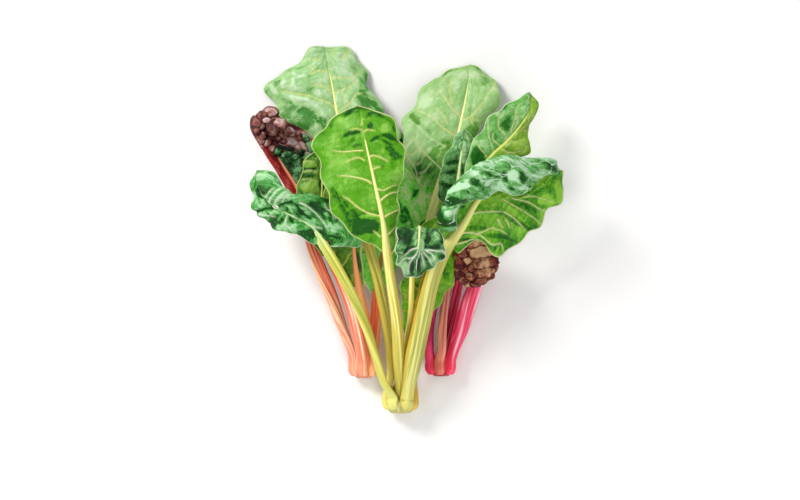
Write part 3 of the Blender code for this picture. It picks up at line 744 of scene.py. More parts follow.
@dataclass(frozen=True)
class CrownFinish:
    """The look of a cut crown: ribbed sides and a cut that has dried brown."""

    side: Colour
    shade: Colour
    cut: Colour
    scar: Colour

    def material(self, name: str) -> bpy.types.Material:
        """Builds the finish.

        Args:
            name: The material's name.

        Returns:
            The material.
        """
        graph = Graph(name)
        around, along, out = graph.mark("around"), graph.mark("along"), graph.mark("out")
        ribs = graph.noise(graph.vector(around * 5.0, along * 0.02), 2.0, 3.0, 0.6)
        wash = graph.noise(graph.place(), 130.0, 3.0, 0.6)
        rings = graph.math("SINE", out * 26.0 + wash * 5.0) * 0.5 + 0.5
        colour = graph.blend(ribs.step(0.4, 0.65), self.shade, self.side)
        colour = graph.blend(wash.step(0.6, 0.74) * 0.6, colour, self.scar)
        face = graph.blend(rings * 0.5 + wash * 0.3, self.cut, self.scar)
        colour = graph.blend(graph.mark("cut"), colour, face)
        relief = ribs * 0.6 + rings * graph.mark("cut") * 0.3
        return graph.finish(colour, 0.55 + wash * 0.2, graph.bump(relief, 0.6, 0.7))


# ---- pieces


@dataclass
class Piece:
    """A mesh that stands for one solid of the bunch."""

    name: str
    offset: Array

    def add(self, points: Array, faces: list, marks: dict[str, Array], finishes: list[bpy.types.Material],
            choice: Optional[Array] = None) -> bpy.types.Object:
        """Makes the mesh, dresses it and joins it to the bunch.

        Args:
            points: Vertices in the layout, in millimetres.
            faces: Vertex numbers of each face.
            marks: Numbers kept on the vertices for the finish to read.
            finishes: The piece's materials.
            choice: Which of them each face has.

        Returns:
            The object.
        """
        mesh = bpy.data.meshes.new(self.name)
        mesh.from_pydata((points * MM + self.offset).tolist(), [], faces)
        for key, values in marks.items():
            mesh.attributes.new(key, "FLOAT", "POINT").data.foreach_set("value", values.astype(np.float32))
        for finish in finishes:
            mesh.materials.append(finish)
        if choice is not None:
            mesh.polygons.foreach_set("material_index", choice)
        mesh.shade_smooth()
        made = bpy.data.objects.new(f"fine_{self.name}", mesh)
        bpy.context.scene.collection.objects.link(made)
        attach(made, BODY)
        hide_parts(self.name)
        LOG.info("%s: %d faces", made.name, len(faces))
        return made


def quads(rows: int, columns: int, first: Array, flip: bool) -> Array:
    """The faces of a grid of vertices.

    Args:
        rows: Faces along the grid.
        columns: Faces across it.
        first: The vertices' numbers, by row and column.
        flip: Turns the faces over.

    Returns:
        Four vertex numbers for each face.
    """
    a, b = first[:rows, :columns], first[:rows, 1:columns + 1]
    c, d = first[1:rows + 1, 1:columns + 1], first[1:rows + 1, :columns]
    corners = (a, d, c, b) if flip else (a, b, c, d)
    return np.stack(corners, axis=-1).reshape(-1, 4)


def tube_faces(rings: int, sides: int, flip: bool, caps: bool = False) -> list:
    """The faces of a tube of vertices, ring after ring.

    Args:
        rings: How many rings it has.
        sides: Vertices of each ring.
        flip: Turns the faces over.
        caps: Closes both ends with a face.

    Returns:
        Vertex numbers of each face.
    """
    number = np.arange(rings * sides).reshape(rings, sides)
    wrapped = np.concatenate([number, number[:, :1]], axis=1)
    faces = quads(rings - 1, sides, wrapped, flip).tolist()
    if caps:
        faces += [number[0][::1 if flip else -1].tolist(), number[-1][::-1 if flip else 1].tolist()]
    return faces


class Slot(Enum):
    """The finishes of a blade, in the order of its materials."""

    UPPER = 0
    UNDER = 1
    VEINS = 2
    PLUS = 3


class Net:
    """The smooth form of half a blade, by row and column, with the measures that its relief goes by."""

    def __init__(self, blade: "Blade", sign: int, rows: int, columns: int) -> None:
        """Measures the half.

        Args:
            blade: The blade.
            sign: -1 or 1 for the minus or plus half.
            rows: Faces along it.
            columns: Faces across it.
        """
        self.sign = sign
        self.row, self.column, self.here = blade.form(sign, rows, columns)
        ahead, outward = np.gradient(self.here, axis=0), np.gradient(self.here, axis=1)
        self.outward = unit(outward)
        self.normal = unit(np.cross(self.outward, ahead) * sign)
        self.normal[0] = self.normal[1]
        self.straight = np.linalg.norm(self.here - self.here[:, :1], axis=-1)
        self.reach, self.along = run_over(self.here, 1), run_over(self.here, 0)
        self.edge = self.reach[:, -1:] - self.reach
        calm = blade.tip_calm * smooth_step((self.row - blade.tip_start) / (1 - blade.tip_start))
        self.fade = (1 - calm) * smooth_step(self.straight[:, -1:] / blade.full_row)


class Batch:
    """Gathers the parts of one mesh."""

    def __init__(self) -> None:
        """Starts with nothing in it."""
        self.points, self.faces, self.choice, self.marks = [], [], [], {}
        self.count = 0

    def put(self, points: Array, marks: dict[str, Array]) -> int:
        """Adds points.

        Args:
            points: The points, in any grid.
            marks: Their marks, of the same names each time.

        Returns:
            The first one's number.
        """
        first = self.count
        self.points.append(points.reshape(-1, 3))
        self.count += len(self.points[-1])
        for key, values in marks.items():
            self.marks.setdefault(key, []).append(np.ravel(values))
        return first

    def join(self, faces: list, finish: int, first: int = 0) -> None:
        """Adds faces of one finish, by vertex numbers from the first one's."""
        self.faces += [[corner + first for corner in face] for face in faces]
        self.choice += [finish] * len(faces)


def rounded(share: Array) -> Array:
    """A round rise: 0 to 1 over the shares 0 to 1, steep at first and level at the end."""
    share = np.clip(share, 0, 1)
    return np.sqrt(share * (2 - share))


@dataclass
class Blade(Piece):
    """The thin waved sheet of one leaf, in two halves that meet under its midrib."""

    leaf: Leaf = None
    axis: Axis = None
    look: "Look" = None
    spacing: float = 1.45
    row_limits: tuple[int, int] = (50, 150)
    column_limits: tuple[int, int] = (24, 84)
    fold_columns: float = 0.45  # how many more columns, as a share, for each line after the first
    thickness: float = 0.7
    buried: float = 0.1  # share of the midrib's width between its middle and each half
    vein_bend: float = 0.10
    vein_sides: int = 8
    vein_rise: float = 0.3  # of its half-width, over each face
    far: float = 30.0  # a distance that counts as far from every vein
    scallop: float = 0.05
    scallops_per_wave: float = 1.6
    full_row: float = 24.0  # a row of this length has the full relief
    tip_start: float = 0.9  # the row where the relief dies down
    tip_calm: float = 0.7  # how much of it goes
    cell_slope: float = 0.42  # share of a blister that slopes
    frill_width: float = 16.0
    frill_wave: float = 4.2
    clearance: float = 0.1  # the least height over the table
    search: tuple[int, int] = (260, 110)  # rows and columns of the net that drawn veins are laid on
    spot: float = 1.6  # how far from its drawn place a vein may be laid, to find the topmost fold
    spot_slack: float = 0.6  # the same past the blade's nearest point, where the blade isn't under it
    spot_pull: float = 1.5  # how much higher a point must be to be taken, for each millimetre farther off
    in_midrib: float = 0.05  # a place within this share of the way lies in the midrib

    def across(self, knots: list[Array], column: Array) -> Array:
        """A smooth curve from midrib to margin through the lines' points in each row.

        Args:
            knots: Each line's point in each row, from the midrib out.
            column: Shares of the way across.

        Returns:
            The points at those shares.
        """
        knots = [2 * knots[0] - knots[1], *knots, 2 * knots[-1] - knots[-2]]
        spans = len(knots) - 3
        value = np.zeros_like(knots[0])
        for k in range(spans):
            inside = (column * spans >= k) & ((column * spans < k + 1) | (k == spans - 1))
            piece = curve_between(*knots[k:k + 4], (column * spans - k)[..., None])
            value = np.where(inside[..., None], piece, value)
        return value

    def bare(self, sign: int, row: Array, column: Array) -> Array:
        """The half's smooth form.

        Args:
            sign: -1 or 1 for the minus or plus half.
            row: Shares of the blade's rows, from base to tip.
            column: Shares of the way from midrib to margin.

        Returns:
            The points.
        """
        leaf, axis = self.leaf, self.axis
        lines = leaf.minus if sign < 0 else leaf.plus
        start = axis.blade_start + leaf.fan * row * axis.blade_length
        centre, side, upper, forward = axis.frame(start)
        width, _ = axis.stalk_size(start)
        knots = [centre + side * (sign * self.buried * width)[..., None]]
        for k, line in enumerate(lines, start=1):
            last = axis.frame(axis.fanned_end(k / len(lines)))[0]
            curve = spline([*line, last])
            at = run_along(curve)
            knots.append(read(curve, at, row * at[-1]))
        bow = column * (1 - column)
        bend = self.vein_bend * axis.blade_length * bow * np.sin(math.pi * row)
        height = leaf.arch * 4 * bow * np.sqrt(np.sin(math.pi * np.clip(row, 0, 1)))
        surface = self.across(knots, column) + forward * bend[..., None] + upper * height[..., None]
        spine = axis.frame(axis.fanned_end(column))[0]
        return np.where(row[..., None] == 1.0, spine, surface)

    def form(self, sign: int, rows: int, columns: int) -> tuple[Array, Array, Array]:
        """Each point's row, column and place in a half's smooth form, with so many faces each way."""
        row, column = np.meshgrid(np.linspace(0, 1, rows + 1), np.linspace(0, 1, columns + 1), indexing="ij")
        return row, column, self.bare(sign, row, column)

    def laid(self, vein: "Vein", sheet: Array) -> "Vein":
        """Lays a drawn vein on the blade: each of its places goes to the topmost fold there.

        Args:
            vein: The vein, by places in the layout.
            sheet: The smooth form of its half, with the rows and columns of the search.

        Returns:
            The vein, by rows and shares.
        """
        rows, columns = self.search
        way = []
        for x, y in vein.way:
            off = np.hypot(sheet[..., 0] - x, sheet[..., 1] - y)
            near = off < max(self.spot, off.min() + self.spot_slack)
            top = np.where(near, sheet[..., 2] - self.spot_pull * off, -math.inf).argmax()
            i, j = np.unravel_index(top, off.shape)
            share = j / columns
            way.append((round(i / rows, 3), round(share, 2) if share > self.in_midrib else 0.0))
        return Vein(vein.side, vein.width, tuple(way))

    def skin_relief(self, net: Net, near: Array) -> tuple[Array, Array]:
        """The relief that is alike all over: puffs between the veins, blisters, frill and crumples.

        Args:
            net: The half.
            near: Distance to the nearest side vein or the midrib.

        Returns:
            Its height, and the mark that the finish reads: painted light on the tops of puffs and blisters,
            painted shade in their hollows.
        """
        look, seed = self.look, self.look.seed
        puff = look.puff * (rounded(np.minimum(near, 0.7 * net.edge) / look.spread) - 0.5) * look.facing
        away, number = cells(net.along + 60 * net.sign, net.reach + 9 * net.row, look.cell, seed)
        dome = rounded(away / (self.cell_slope * look.cell)) * (0.6 + 0.6 * number) - 0.55
        inner = smooth_step(net.reach / 8) * smooth_step(net.edge / 5)
        blister = look.blister * dome * inner * look.facing
        swing = np.sin(net.along / self.frill_wave + 3 * clouds(net.here, 17.0, seed + 5))
        frill = look.frill * smooth_step(1 - net.edge / self.frill_width) * swing
        crumple = look.crumple * (clouds(net.here, 11.0, seed + 7) + 0.5 * clouds(net.here, 5.5, seed + 8))
        firm = np.minimum(net.fade + 0.3 * (net.row < 1), 1)
        # How high each point stands in this relief, which the finish paints lighter on the tops and darker in
        # the hollows.
        mark = dome * min(1.0, look.blister) + puff / max(look.puff, 1.0) * look.facing + crumple / 2
        return (puff + frill) * net.fade + (blister + crumple) * firm, mark

    def drawn_relief(self, net: Net) -> tuple[Array, Array, Array]:
        """The folds, patches and puffs that are drawn in the layout.

        Args:
            net: The half.

        Returns:
            Their height, their tone of painted highlights and painted shade with some of the leaf's own
            lighter and darker greens, and the distance from the creases between puffs, where the finish
            paints shade.
        """
        look, here = self.look, net.here
        fold, shade, swell, tone = (np.zeros_like(net.row) for _ in range(4))
        for crease in look.folds:
            height, darker = crease.relief(here)
            fold, shade = fold + height, shade + darker
        for patch in look.patches:
            shade += patch.reading(here, look.seed)
        below = np.full_like(net.row, -5.0)
        for mound in look.puffs:
            rise = mound.swell(here, look.seed)
            below = np.maximum(below, np.minimum(swell, rise))
            tone = np.where(rise > swell, mound.tone, tone)
            swell = np.maximum(swell, rise)
        # Painted highlight (tone above 0) and painted shade (tone below 0) over the top of each puff.
        shade += tone * np.clip(swell, 0, 1)
        return (fold + swell) * np.clip(3 * net.normal[..., 2], -1, 1), shade, swell - below

    def half(self, net: Net, veins: list["Vein"]) -> dict[str, Array]:
        """Works out one half.

        Args:
            net: The half's measured grid.
            veins: The blade's side veins.

        Returns:
            Its two faces' points and its marks, by row and column.
        """
        look, here = self.look, net.here
        near = np.minimum(net.reach, self.far)
        for vein in veins:
            if vein.side == net.sign:
                near = np.minimum(near, distance_from(here, between(here, *spline(vein.way).T)[::4]))
        fine, height = self.skin_relief(net, near)
        fold, shade, crease = self.drawn_relief(net)
        ruffle, waves, phase = self.leaf.ruffle
        turn = 2 * math.pi * waves * net.row + phase + net.sign
        room = look.ruffle * net.column**2 * net.fade
        lift = ruffle * np.sin(turn) * room + fine + fold
        scallop = self.scallop * net.straight * np.sin(self.scallops_per_wave * turn) * room
        middle = here + net.normal * lift[..., None] + net.outward * scallop[..., None]
        skin = net.normal * (self.thickness / 2)
        faces = {"top": middle + skin, "bottom": middle - skin}
        for points in faces.values():
            points[..., 2] = np.maximum(points[..., 2], self.clearance)
        return {**faces, "along": net.along + 60 * net.sign, "reach": net.reach, "edge": net.edge,
                "near": near, "height": height, "shade": shade, "crease": crease,
                "ground": net.row + 0.25 * net.column}

    def vein_tube(self, vein: "Vein", half: dict[str, Array]) -> tuple[Array, Array, list]:
        """One side vein, as a tube that stands out a little from both faces.

        Args:
            vein: The vein.
            half: The half that it runs on.

        Returns:
            Its points, each one's share of the way along it, and its faces.
        """
        way = spline(vein.way)
        top, bottom = between(half["top"], *way.T), between(half["bottom"], *way.T)
        centre, normal = (top + bottom) / 2, unit(top - bottom)
        share = np.linspace(0, 1, len(way))
        across = unit(np.cross(np.gradient(centre, axis=0), normal))
        wide = vein.width / 2 * (1 - 0.6 * share) * (1 - smooth_step((share - 0.9) / 0.1))
        high = self.thickness / 2 * (0.4 + 0.6 * (wide > 0.1)) + self.vein_rise * wide
        angle = np.linspace(0, 2 * math.pi, self.vein_sides, endpoint=False)
        points = (centre[:, None] + across[:, None] * (wide[:, None] * np.cos(angle))[..., None]
                  + normal[:, None] * (high[:, None] * np.sin(angle))[..., None])
        points[..., 2] = np.maximum(points[..., 2], self.clearance)
        return points, np.repeat(share, self.vein_sides), tube_faces(*points.shape[:2], True)

    def put_half(self, batch: Batch, sign: int, half: dict[str, Array]) -> None:
        """Adds one half: its two faces, and the rim round them.

        Args:
            batch: What gathers the blade.
            sign: -1 or 1 for the minus or plus half. The plus half comes second and shares the last row.
            half: The half.
        """
        finish = Slot.PLUS if sign > 0 and self.look.plus is not None else None
        rows, columns, _ = half["top"].shape
        marks = {key: value for key, value in half.items() if key not in ("top", "bottom")}
        numbers = []
        for side, slot in (("top", Slot.UPPER), ("bottom", Slot.UNDER)):
            number = batch.put(half[side], marks) + np.arange(rows * columns).reshape(rows, columns)
            if sign > 0:
                number[-1] -= 2 * rows * columns
            made = quads(rows - 1, columns - 1, number, (sign < 0) != (side == "bottom"))
            batch.join(made.tolist(), (finish or slot).value)
            numbers.append(number)
        for place, turn in ((np.s_[:, -1], sign > 0), (np.s_[0], sign < 0), (np.s_[:, 0], sign < 0)):
            rim = np.stack([number[place] for number in numbers])
            batch.join(quads(1, rim.shape[1] - 1, rim, turn).tolist(), (finish or Slot.UPPER).value)

    def put_lobes(self, batch: Batch, sheet: Array) -> None:
        """Adds the lobes that stand over the blade where it is crumpled.

        Args:
            batch: What gathers the blade.
            sheet: Points all over the blade.
        """
        lobes, seed = self.look.lobes, self.look.seed
        middles = [lobe.middle(sheet) for lobe in lobes]
        for k, (lobe, middle) in enumerate(zip(lobes, middles)):
            points, ball = lobe.skin(middle, seed + k)
            apart = [other.apart(points, place) for other, place in zip(lobes, middles) if other is not lobe]
            far = np.full(points.shape[:2], self.far)
            # The shade mark paints shade round each lobe's foot and underside; the crease mark paints shade
            # where the lobes meet.
            marks = {"along": points[..., 0] + 40 * k, "reach": points[..., 1], "edge": far, "near": far,
                     "height": clouds(points, 4.0, k), "shade": lobe.shade(ball),
                     "crease": 0.5 * np.min(apart, axis=0), "ground": 0 * far if lobe.base else far}
            finish = Slot.PLUS if lobe.base else Slot.UPPER
            batch.join(tube_faces(*far.shape, True, caps=True), finish.value, batch.put(points, marks))

    def build(self) -> bpy.types.Object:
        """Makes the blade: both halves, the side veins and the lobes.

        Returns:
            The object.
        """
        look, half_row = self.look, np.array([[0.5, 0.5]])
        ends = [self.bare(sign, half_row, np.array([[0.0, 1.0]]))[0] for sign in (-1, 1)]
        width = max(np.linalg.norm(margin - midrib) for midrib, margin in ends)
        folds = max(len(self.leaf.minus), len(self.leaf.plus)) - 1
        rows = int(np.clip(self.axis.blade_length / self.spacing, *self.row_limits))
        columns = int(np.clip(width * (1 + self.fold_columns * folds) / self.spacing, *self.column_limits))
        sheets = {sign: self.form(sign, *self.search)[2] for sign in (-1, 1)}
        veins = [self.laid(vein, sheets[vein.side]) if vein.drawn else vein for vein in look.veins]
        halves = {sign: self.half(Net(self, sign, rows, columns), veins) for sign in (-1, 1)}
        for key, value in halves[1].items():
            halves[-1][key][-1] = value[-1] = (halves[-1][key][-1] + value[-1]) / 2
        batch = Batch()
        for sign, half in halves.items():
            self.put_half(batch, sign, half)
        for vein in veins:
            points, share, faces = self.vein_tube(vein, halves[vein.side])
            marks = {**{key: 0 * share for key in batch.marks}, "along": share}
            batch.join(faces, Slot.VEINS.value, batch.put(points, marks))
        self.put_lobes(batch, np.concatenate([half["top"].reshape(-1, 3) for half in halves.values()]))
        finishes = {"upper": look.upper, "under": look.under, "veins": look.side_veins, "plus": look.plus}
        materials = [finish.material(f"{self.name}_{key}") for key, finish in finishes.items() if finish]
        marks = {key: np.concatenate(values) for key, values in batch.marks.items()}
        return self.add(np.concatenate(batch.points), batch.faces, marks, materials, np.array(batch.choice))


SECTION = ((1.0, 0.0), (0.52, 0.24), (0.0, 0.13), (-0.52, 0.24),
           (-1.0, 0.0), (-0.68, -0.58), (0.0, -0.80), (0.68, -0.58))


@dataclass
class Stalk(Piece):
    """A ribbed stalk, which runs on as the blade's midrib."""

    leaf: Leaf = None
    axis: Axis = None
    look: "Look" = None
    ring_spacing: float = 2.6
    sides: int = 40
    groove: float = 0.022
    grooves: int = 9
    sunk: float = 8.0  # how far its foot stands in the crown
    sunk_rings: tuple[float, ...] = (1.0, 0.85, 0.6, 0.3)  # the rings down there, as shares of it
    foot: float = 26.0
    flare: float = 0.25
    narrowing: tuple[float, float] = (0.06, 0.34)  # share of the midrib that narrows: least, and more by rib
    tip_share: float = 0.12  # share of the blade's length over which the midrib ends
    tip_size: float = 0.35
    wobble: float = 0.035
    wobble_size: float = 30.0
    clearance: float = 0.1  # the least height over the table
    under_shift: float = 37.0  # keeps the pattern of the under side apart from the upper side's
    pattern_size: float = 6.0

    def section(self) -> tuple[Array, Array]:
        """The cross-section.

        Returns:
            Its points, in half-widths across and heights up, and each point's place round it, from -1 to 1.
        """
        knots = np.array(SECTION)
        place = np.arange(self.sides) / self.sides * len(knots)
        k = place.astype(int)
        four = [knots[(k + step) % len(knots)] for step in (-1, 0, 1, 2)]
        smooth = curve_between(*four, (place - k)[:, None])
        return smooth, 2 * place / len(knots) - 1

    def sizes(self, stations: Array, end: float) -> Array:
        """How much wider and thicker than the solid it is.

        Args:
            stations: Distances along the centreline.
            end: Where the midrib ends.

        Returns:
            The factor at each station.
        """
        start, rib = self.axis.blade_start, self.look.rib
        least, more = self.narrowing
        flare = 1 + self.flare * (1 - smooth_step(stations / self.foot))
        size = flare * np.cos(np.clip(-stations / self.sunk, 0, 1))
        narrowed = smooth_step((stations - start) / ((least + more * rib) * (end - start)))
        size = size * (1 + (rib - 1) * narrowed)
        tip = np.clip((end - stations) / (self.tip_share * self.axis.blade_length), 0, 1)
        return size * (self.tip_size + (1 - self.tip_size) * tip)

    def build(self) -> bpy.types.Object:
        """Makes the stalk: rings along the centreline, closed at both ends.

        Returns:
            The object.
        """
        axis, seed = self.axis, self.look.seed
        start, end = axis.blade_start, axis.blade_start + self.leaf.fan * axis.blade_length
        below = -self.sunk * np.array(self.sunk_rings)
        stations = np.concatenate([below, np.linspace(0, end, int(end / self.ring_spacing) + 1)])
        centre, side, upper, tangent = axis.frame(stations)
        centre = centre + tangent * np.minimum(stations, 0)[:, None]
        size = self.sizes(stations, end)
        width, thickness = (measure * size for measure in axis.stalk_size(stations))
        shape, around = self.section()
        grooves = np.sin(self.grooves * math.pi * around + seed) * np.minimum(1, np.abs(shape[:, 1]) * 4)
        wobble = 1 + self.wobble * clouds(centre, self.wobble_size, seed + 3)[:, None]
        swell = (1 + self.groove * grooves) * wobble
        x = shape[:, 0] * swell * (width / 2)[:, None]
        y = shape[:, 1] * swell * thickness[:, None]
        points = centre[:, None] + side[:, None] * x[..., None] + upper[:, None] * y[..., None]
        points[..., 2] = np.maximum(points[..., 2], self.clearance)
        rise = np.where(stations < start, stations / start, 1 + (stations - start) / (end - start))
        apart = np.where(shape[:, 1] < -0.1, self.under_shift, 0.0)
        marks = {"around": (x + apart).ravel() / self.pattern_size, "along": np.repeat(stations, self.sides),
                 "across": np.tile(shape[:, 0], len(stations)), "rise": np.repeat(rise, self.sides)}
        faces = tube_faces(len(stations), self.sides, False, caps=True)
        return self.add(points.reshape(-1, 3), faces, marks, [self.look.stalk.material(self.name)])


# Share of the radius, distance along the crown and how deep the lobes are.
CUT_RINGS = ((0.0, 0.4, 0.0), (0.2, 0.0, 0.0), (0.4, 0.5, 0.0), (0.6, 0.1, 0.0), (0.76, 0.0, 0.4),
             (0.86, 0.6, 0.8))
# The same, with the distance past the stalks' seats.
TOP_RINGS = ((0.96, 3, 1.3), (0.85, 6, 1.6), (0.6, 4, 1.0), (0.0, 2, 0.0))


@dataclass
class Crown(Piece):
    """The cut base of a head, lobed round the feet of its stalks."""

    head: Head = None
    finish: CrownFinish = None
    seats: tuple[float, ...] = ()  # degrees round the head at which its outer stalks stand
    sides: int = 120
    lobe: float = 0.2
    lobe_angle: float = 30.0
    cut_width: float = 0.66
    side_rings: int = 8
    side_from: float = 0.88
    sink: float = 0.7  # how much the narrow cut is lowered to lie on the table
    lumps: float = 0.5
    lump_size: float = 5.0

    def profile(self) -> list[Point]:
        """Works out the rings.

        Returns:
            Share of the radius, distance from the cut and depth of the lobes for each.
        """
        length = self.head.length
        side = [(self.side_from + (1 - self.side_from) * math.sin(step * math.pi / 2), length * step, 1.0)
                for step in np.linspace(0.12, 1, self.side_rings)]
        return [*CUT_RINGS, *side, *((share, length + past, lobes) for share, past, lobes in TOP_RINGS)]

    def build(self) -> bpy.types.Object:
        """Makes the crown: rings from the middle of the cut, along the side and in over the stalks' feet.

        Returns:
            The object.
        """
        head, profile = self.head, self.profile()
        x, y, z = head.face
        angle = np.linspace(0, 2 * math.pi, self.sides, endpoint=False)
        turn = angle - np.radians(self.seats)[:, None]
        apart = np.abs((turn + math.pi) % (2 * math.pi) - math.pi).min(axis=0)
        groove = smooth_step(apart / math.radians(self.lobe_angle))
        share, depth, lobes = (column[:, None] for column in np.array(profile).T)
        taper = self.cut_width + (1 - self.cut_width) * smooth_step(depth / head.length) ** 0.7
        radius = head.radius * share * taper * (1 - self.lobe * lobes * groove)
        drop = self.sink * head.radius * (1 - taper)
        rings = np.stack([x + radius * np.cos(angle), y - head.length + depth + 0 * angle,
                          z - drop + radius * np.sin(angle)], axis=-1)
        rings += (self.lumps * share * clouds(rings, self.lump_size, 3))[..., None]
        rings[..., 1] = np.maximum(rings[..., 1], y - head.length)
        rings[..., 2] = np.maximum(rings[..., 2], 0.0)
        cut = (np.arange(len(profile)) < len(CUT_RINGS))[:, None]
        marks = {"around": angle, "along": depth, "out": share, "cut": cut}
        marks = {key: (value + 0 * angle + 0 * depth).ravel() for key, value in marks.items()}
        faces = tube_faces(len(profile), self.sides, True)
        return self.add(rings.reshape(-1, 3), faces, marks, [self.finish.material(self.name)])


@dataclass(frozen=True)
class Oval:
    """A turned oval of the layout."""

    x: float
    y: float
    long: float
    wide: float
    turn: float

    def away(self, points: Array) -> Array:
        """How far out the points lie.

        Args:
            points: Points of the layout.

        Returns:
            0 in its middle, 1 at its outline.
        """
        turn = math.radians(self.turn)
        dx, dy = points[..., 0] - self.x, points[..., 1] - self.y
        return np.hypot((dx * math.cos(turn) + dy * math.sin(turn)) / self.long,
                        (dy * math.cos(turn) - dx * math.sin(turn)) / self.wide)


@dataclass(frozen=True)
class Patch(Oval):
    """A lighter or darker place on a blade, with a ragged edge: partly the leaf's own lighter and darker
    greens, partly painted highlights and painted shade.
    """

    tone: float  # -1 dark to 1 light, in painted shade and highlight as well as the leaf's own greens
    raggedness: float = 0.45
    rag_size: float = 9.0
    soft_from: float = 0.6  # share of the oval where the edge starts to fade
    softness: float = 0.6

    def reading(self, points: Array, seed: int) -> Array:
        """The patch's tone at these points of the layout."""
        ragged = self.away(points) + self.raggedness * clouds(points, self.rag_size, seed)
        return self.tone * (1 - smooth_step((ragged - self.soft_from) / self.softness))


@dataclass(frozen=True)
class Puff(Oval):
    """A round swelling of a blade towards the open side."""

    lift: float
    # painted highlight (above 0) and painted shade (below 0) over its top
    tone: float
    raggedness: float = 0.22
    rag_size: float = 8.0

    def swell(self, points: Array, seed: int) -> Array:
        """Its height over these points of the layout: below 0 outside it."""
        ragged = self.away(points) * (1 + self.raggedness * clouds(points, self.rag_size, seed))
        return self.lift * (1 - ragged**2)


@dataclass(frozen=True)
class Lobe(Oval):
    """A rounded lobe of a crumpled blade, which closes on itself."""

    lift: float  # of its top over the blade
    # how light it is: partly its own colour, partly painted highlight and painted shade
    tone: float
    base: bool = False  # in the tones of the blade's base
    fatness: float = 0.8
    rings: int = 16
    sides: int = 32
    pole: float = 0.03  # size of the opening that its first ring leaves, in radians
    ripple: float = 0.05
    ripples: float = 5.0
    lumps: float = 0.13
    lump_size: float = 5.0

    def middle(self, sheet: Array) -> Array:
        """The lobe's middle, over the blade's points under it.

        Args:
            sheet: The blade's points.

        Returns:
            The place.
        """
        away = self.away(sheet)
        top = sheet[away <= max(1.0, away.min() + 0.1), 2].max()
        return np.array([self.x, self.y, top + self.lift - self.depth()])

    def depth(self) -> float:
        """Half of its height."""
        return self.fatness * math.sqrt(self.wide * self.long)

    def skin(self, middle: Array, seed: int) -> tuple[Array, Array]:
        """Makes the lobe's rings.

        Args:
            middle: Its middle.
            seed: Chooses its bumps.

        Returns:
            Its points, and each one's place on the ball that it was pressed from.
        """
        polar = np.linspace(self.pole, math.pi - self.pole, self.rings)[:, None]
        angle = np.linspace(0, 2 * math.pi, self.sides, endpoint=False) + 0 * polar
        out = np.sin(polar)
        ball = np.stack([out * np.cos(angle), out * np.sin(angle), np.cos(polar) + 0 * angle], axis=-1)
        turn = math.radians(self.turn)
        u, v, w = np.moveaxis(ball * (self.long, self.wide, self.depth()), -1, 0)
        flat = np.stack([u * math.cos(turn) - v * math.sin(turn), u * math.sin(turn) + v * math.cos(turn), w],
                        axis=-1)
        ripple = self.ripple * np.sin(self.ripples * angle + seed) * out**2
        lumps = self.lumps * clouds(middle + flat, self.lump_size, seed)
        return middle + flat * (1 + ripple + lumps)[..., None], ball

    def shade(self, ball: Array) -> Array:
        """Its tone, with painted shade and light: darker round its foot and on its underside, and a little
        lighter towards one side.

        Args:
            ball: Places on the ball.

        Returns:
            The tone there.
        """
        flat = np.hypot(ball[..., 0], ball[..., 1])
        foot = 0.8 * smooth_step((flat - 0.65) / 0.35) + 0.5 * (ball[..., 2] < 0)
        return self.tone - foot + 0.25 * ball[..., 1]

    def apart(self, points: Array, middle: Array) -> Array:
        """How far the points are from this lobe's skin."""
        place = np.hypot(self.away(points), (points[..., 2] - middle[2]) / self.depth())
        return np.abs(place - 1) * self.wide


@dataclass(frozen=True)
class Vein:
    """A side vein of a blade, by rows and shares of the way to the margin."""

    side: int
    width: float
    way: tuple[Spot, ...]
    drawn: bool = False  # its way is places in the layout instead


@dataclass(frozen=True)
class Fold:
    """A ridge or crease of a blade, by places in the layout, with a painted highlight along a ridge and
    painted shade along a crease.
    """

    lift: float
    width: float
    tone: float
    way: tuple[Spot, ...]
    tone_width: float = 0.7  # in widths of its relief

    def relief(self, points: Array) -> tuple[Array, Array]:
        """Its height, and its tone of painted highlight on a ridge and painted shade in a crease, at these
        points of the layout.
        """
        away = distance_from(points[..., :2], spline(self.way)[::4]) / self.width
        return self.lift * np.exp(-away**2), self.tone * np.exp(-((away / self.tone_width) ** 2))


def ladder(count: int, lean: float, start: float = 0.04, length: float = 0.92,
           width: float = 1.7) -> tuple[Vein, ...]:
    """Evenly placed side veins on both halves, each forked once.

    Args:
        count: How many to a half.
        lean: How far they lean towards the tip by the margin, in rows.
        start: Where the first leaves the midrib.
        length: Share of the way to the margin that they reach.
        width: Their width at the midrib.

    Returns:
        The veins.
    """
    veins = []
    for side in (-1, 1):
        for k in range(count):
            root = start + (0.95 - start) * (k + 0.2 + 0.2 * side + 0.14 * math.sin(5.0 * k + side)) / count
            rise = lean * math.sin(math.pi * root)
            fork = (root + 0.45 * rise, 0.5 * length)
            main_way = ((root, 0.0), (root + 0.1 * rise, 0.2), fork, (root + rise, length))
            veins.append(Vein(side, width, main_way))
            branch = (fork, (fork[0] + 0.1 * rise - 0.03, 0.72 * length),
                      (root + 0.7 * rise - 0.5 / count, 0.94 * length))
            veins.append(Vein(side, 0.55 * width, branch))
    return tuple(veins)


@dataclass(frozen=True)
class Look:
    """How one leaf is dressed."""

    upper: BladeFinish
    under: BladeFinish
    side_veins: VeinFinish
    stalk: StalkFinish
    seed: int
    plus: Optional[BladeFinish] = None  # both faces of the plus half, if it differs
    veins: tuple[Vein, ...] = ladder(8, 0.08)
    folds: tuple[Fold, ...] = ()
    patches: tuple[Patch, ...] = ()
    puffs: tuple[Puff, ...] = ()
    lobes: tuple[Lobe, ...] = ()
    facing: float = 1.0  # 1 if the puffs rise on the upper face
    puff: float = 1.6
    spread: float = 8.0
    cell: float = 9.0
    blister: float = 1.0
    frill: float = 0.8
    crumple: float = 0.0
    rib: float = 0.7
    ruffle: float = 1.0


# ---- looks


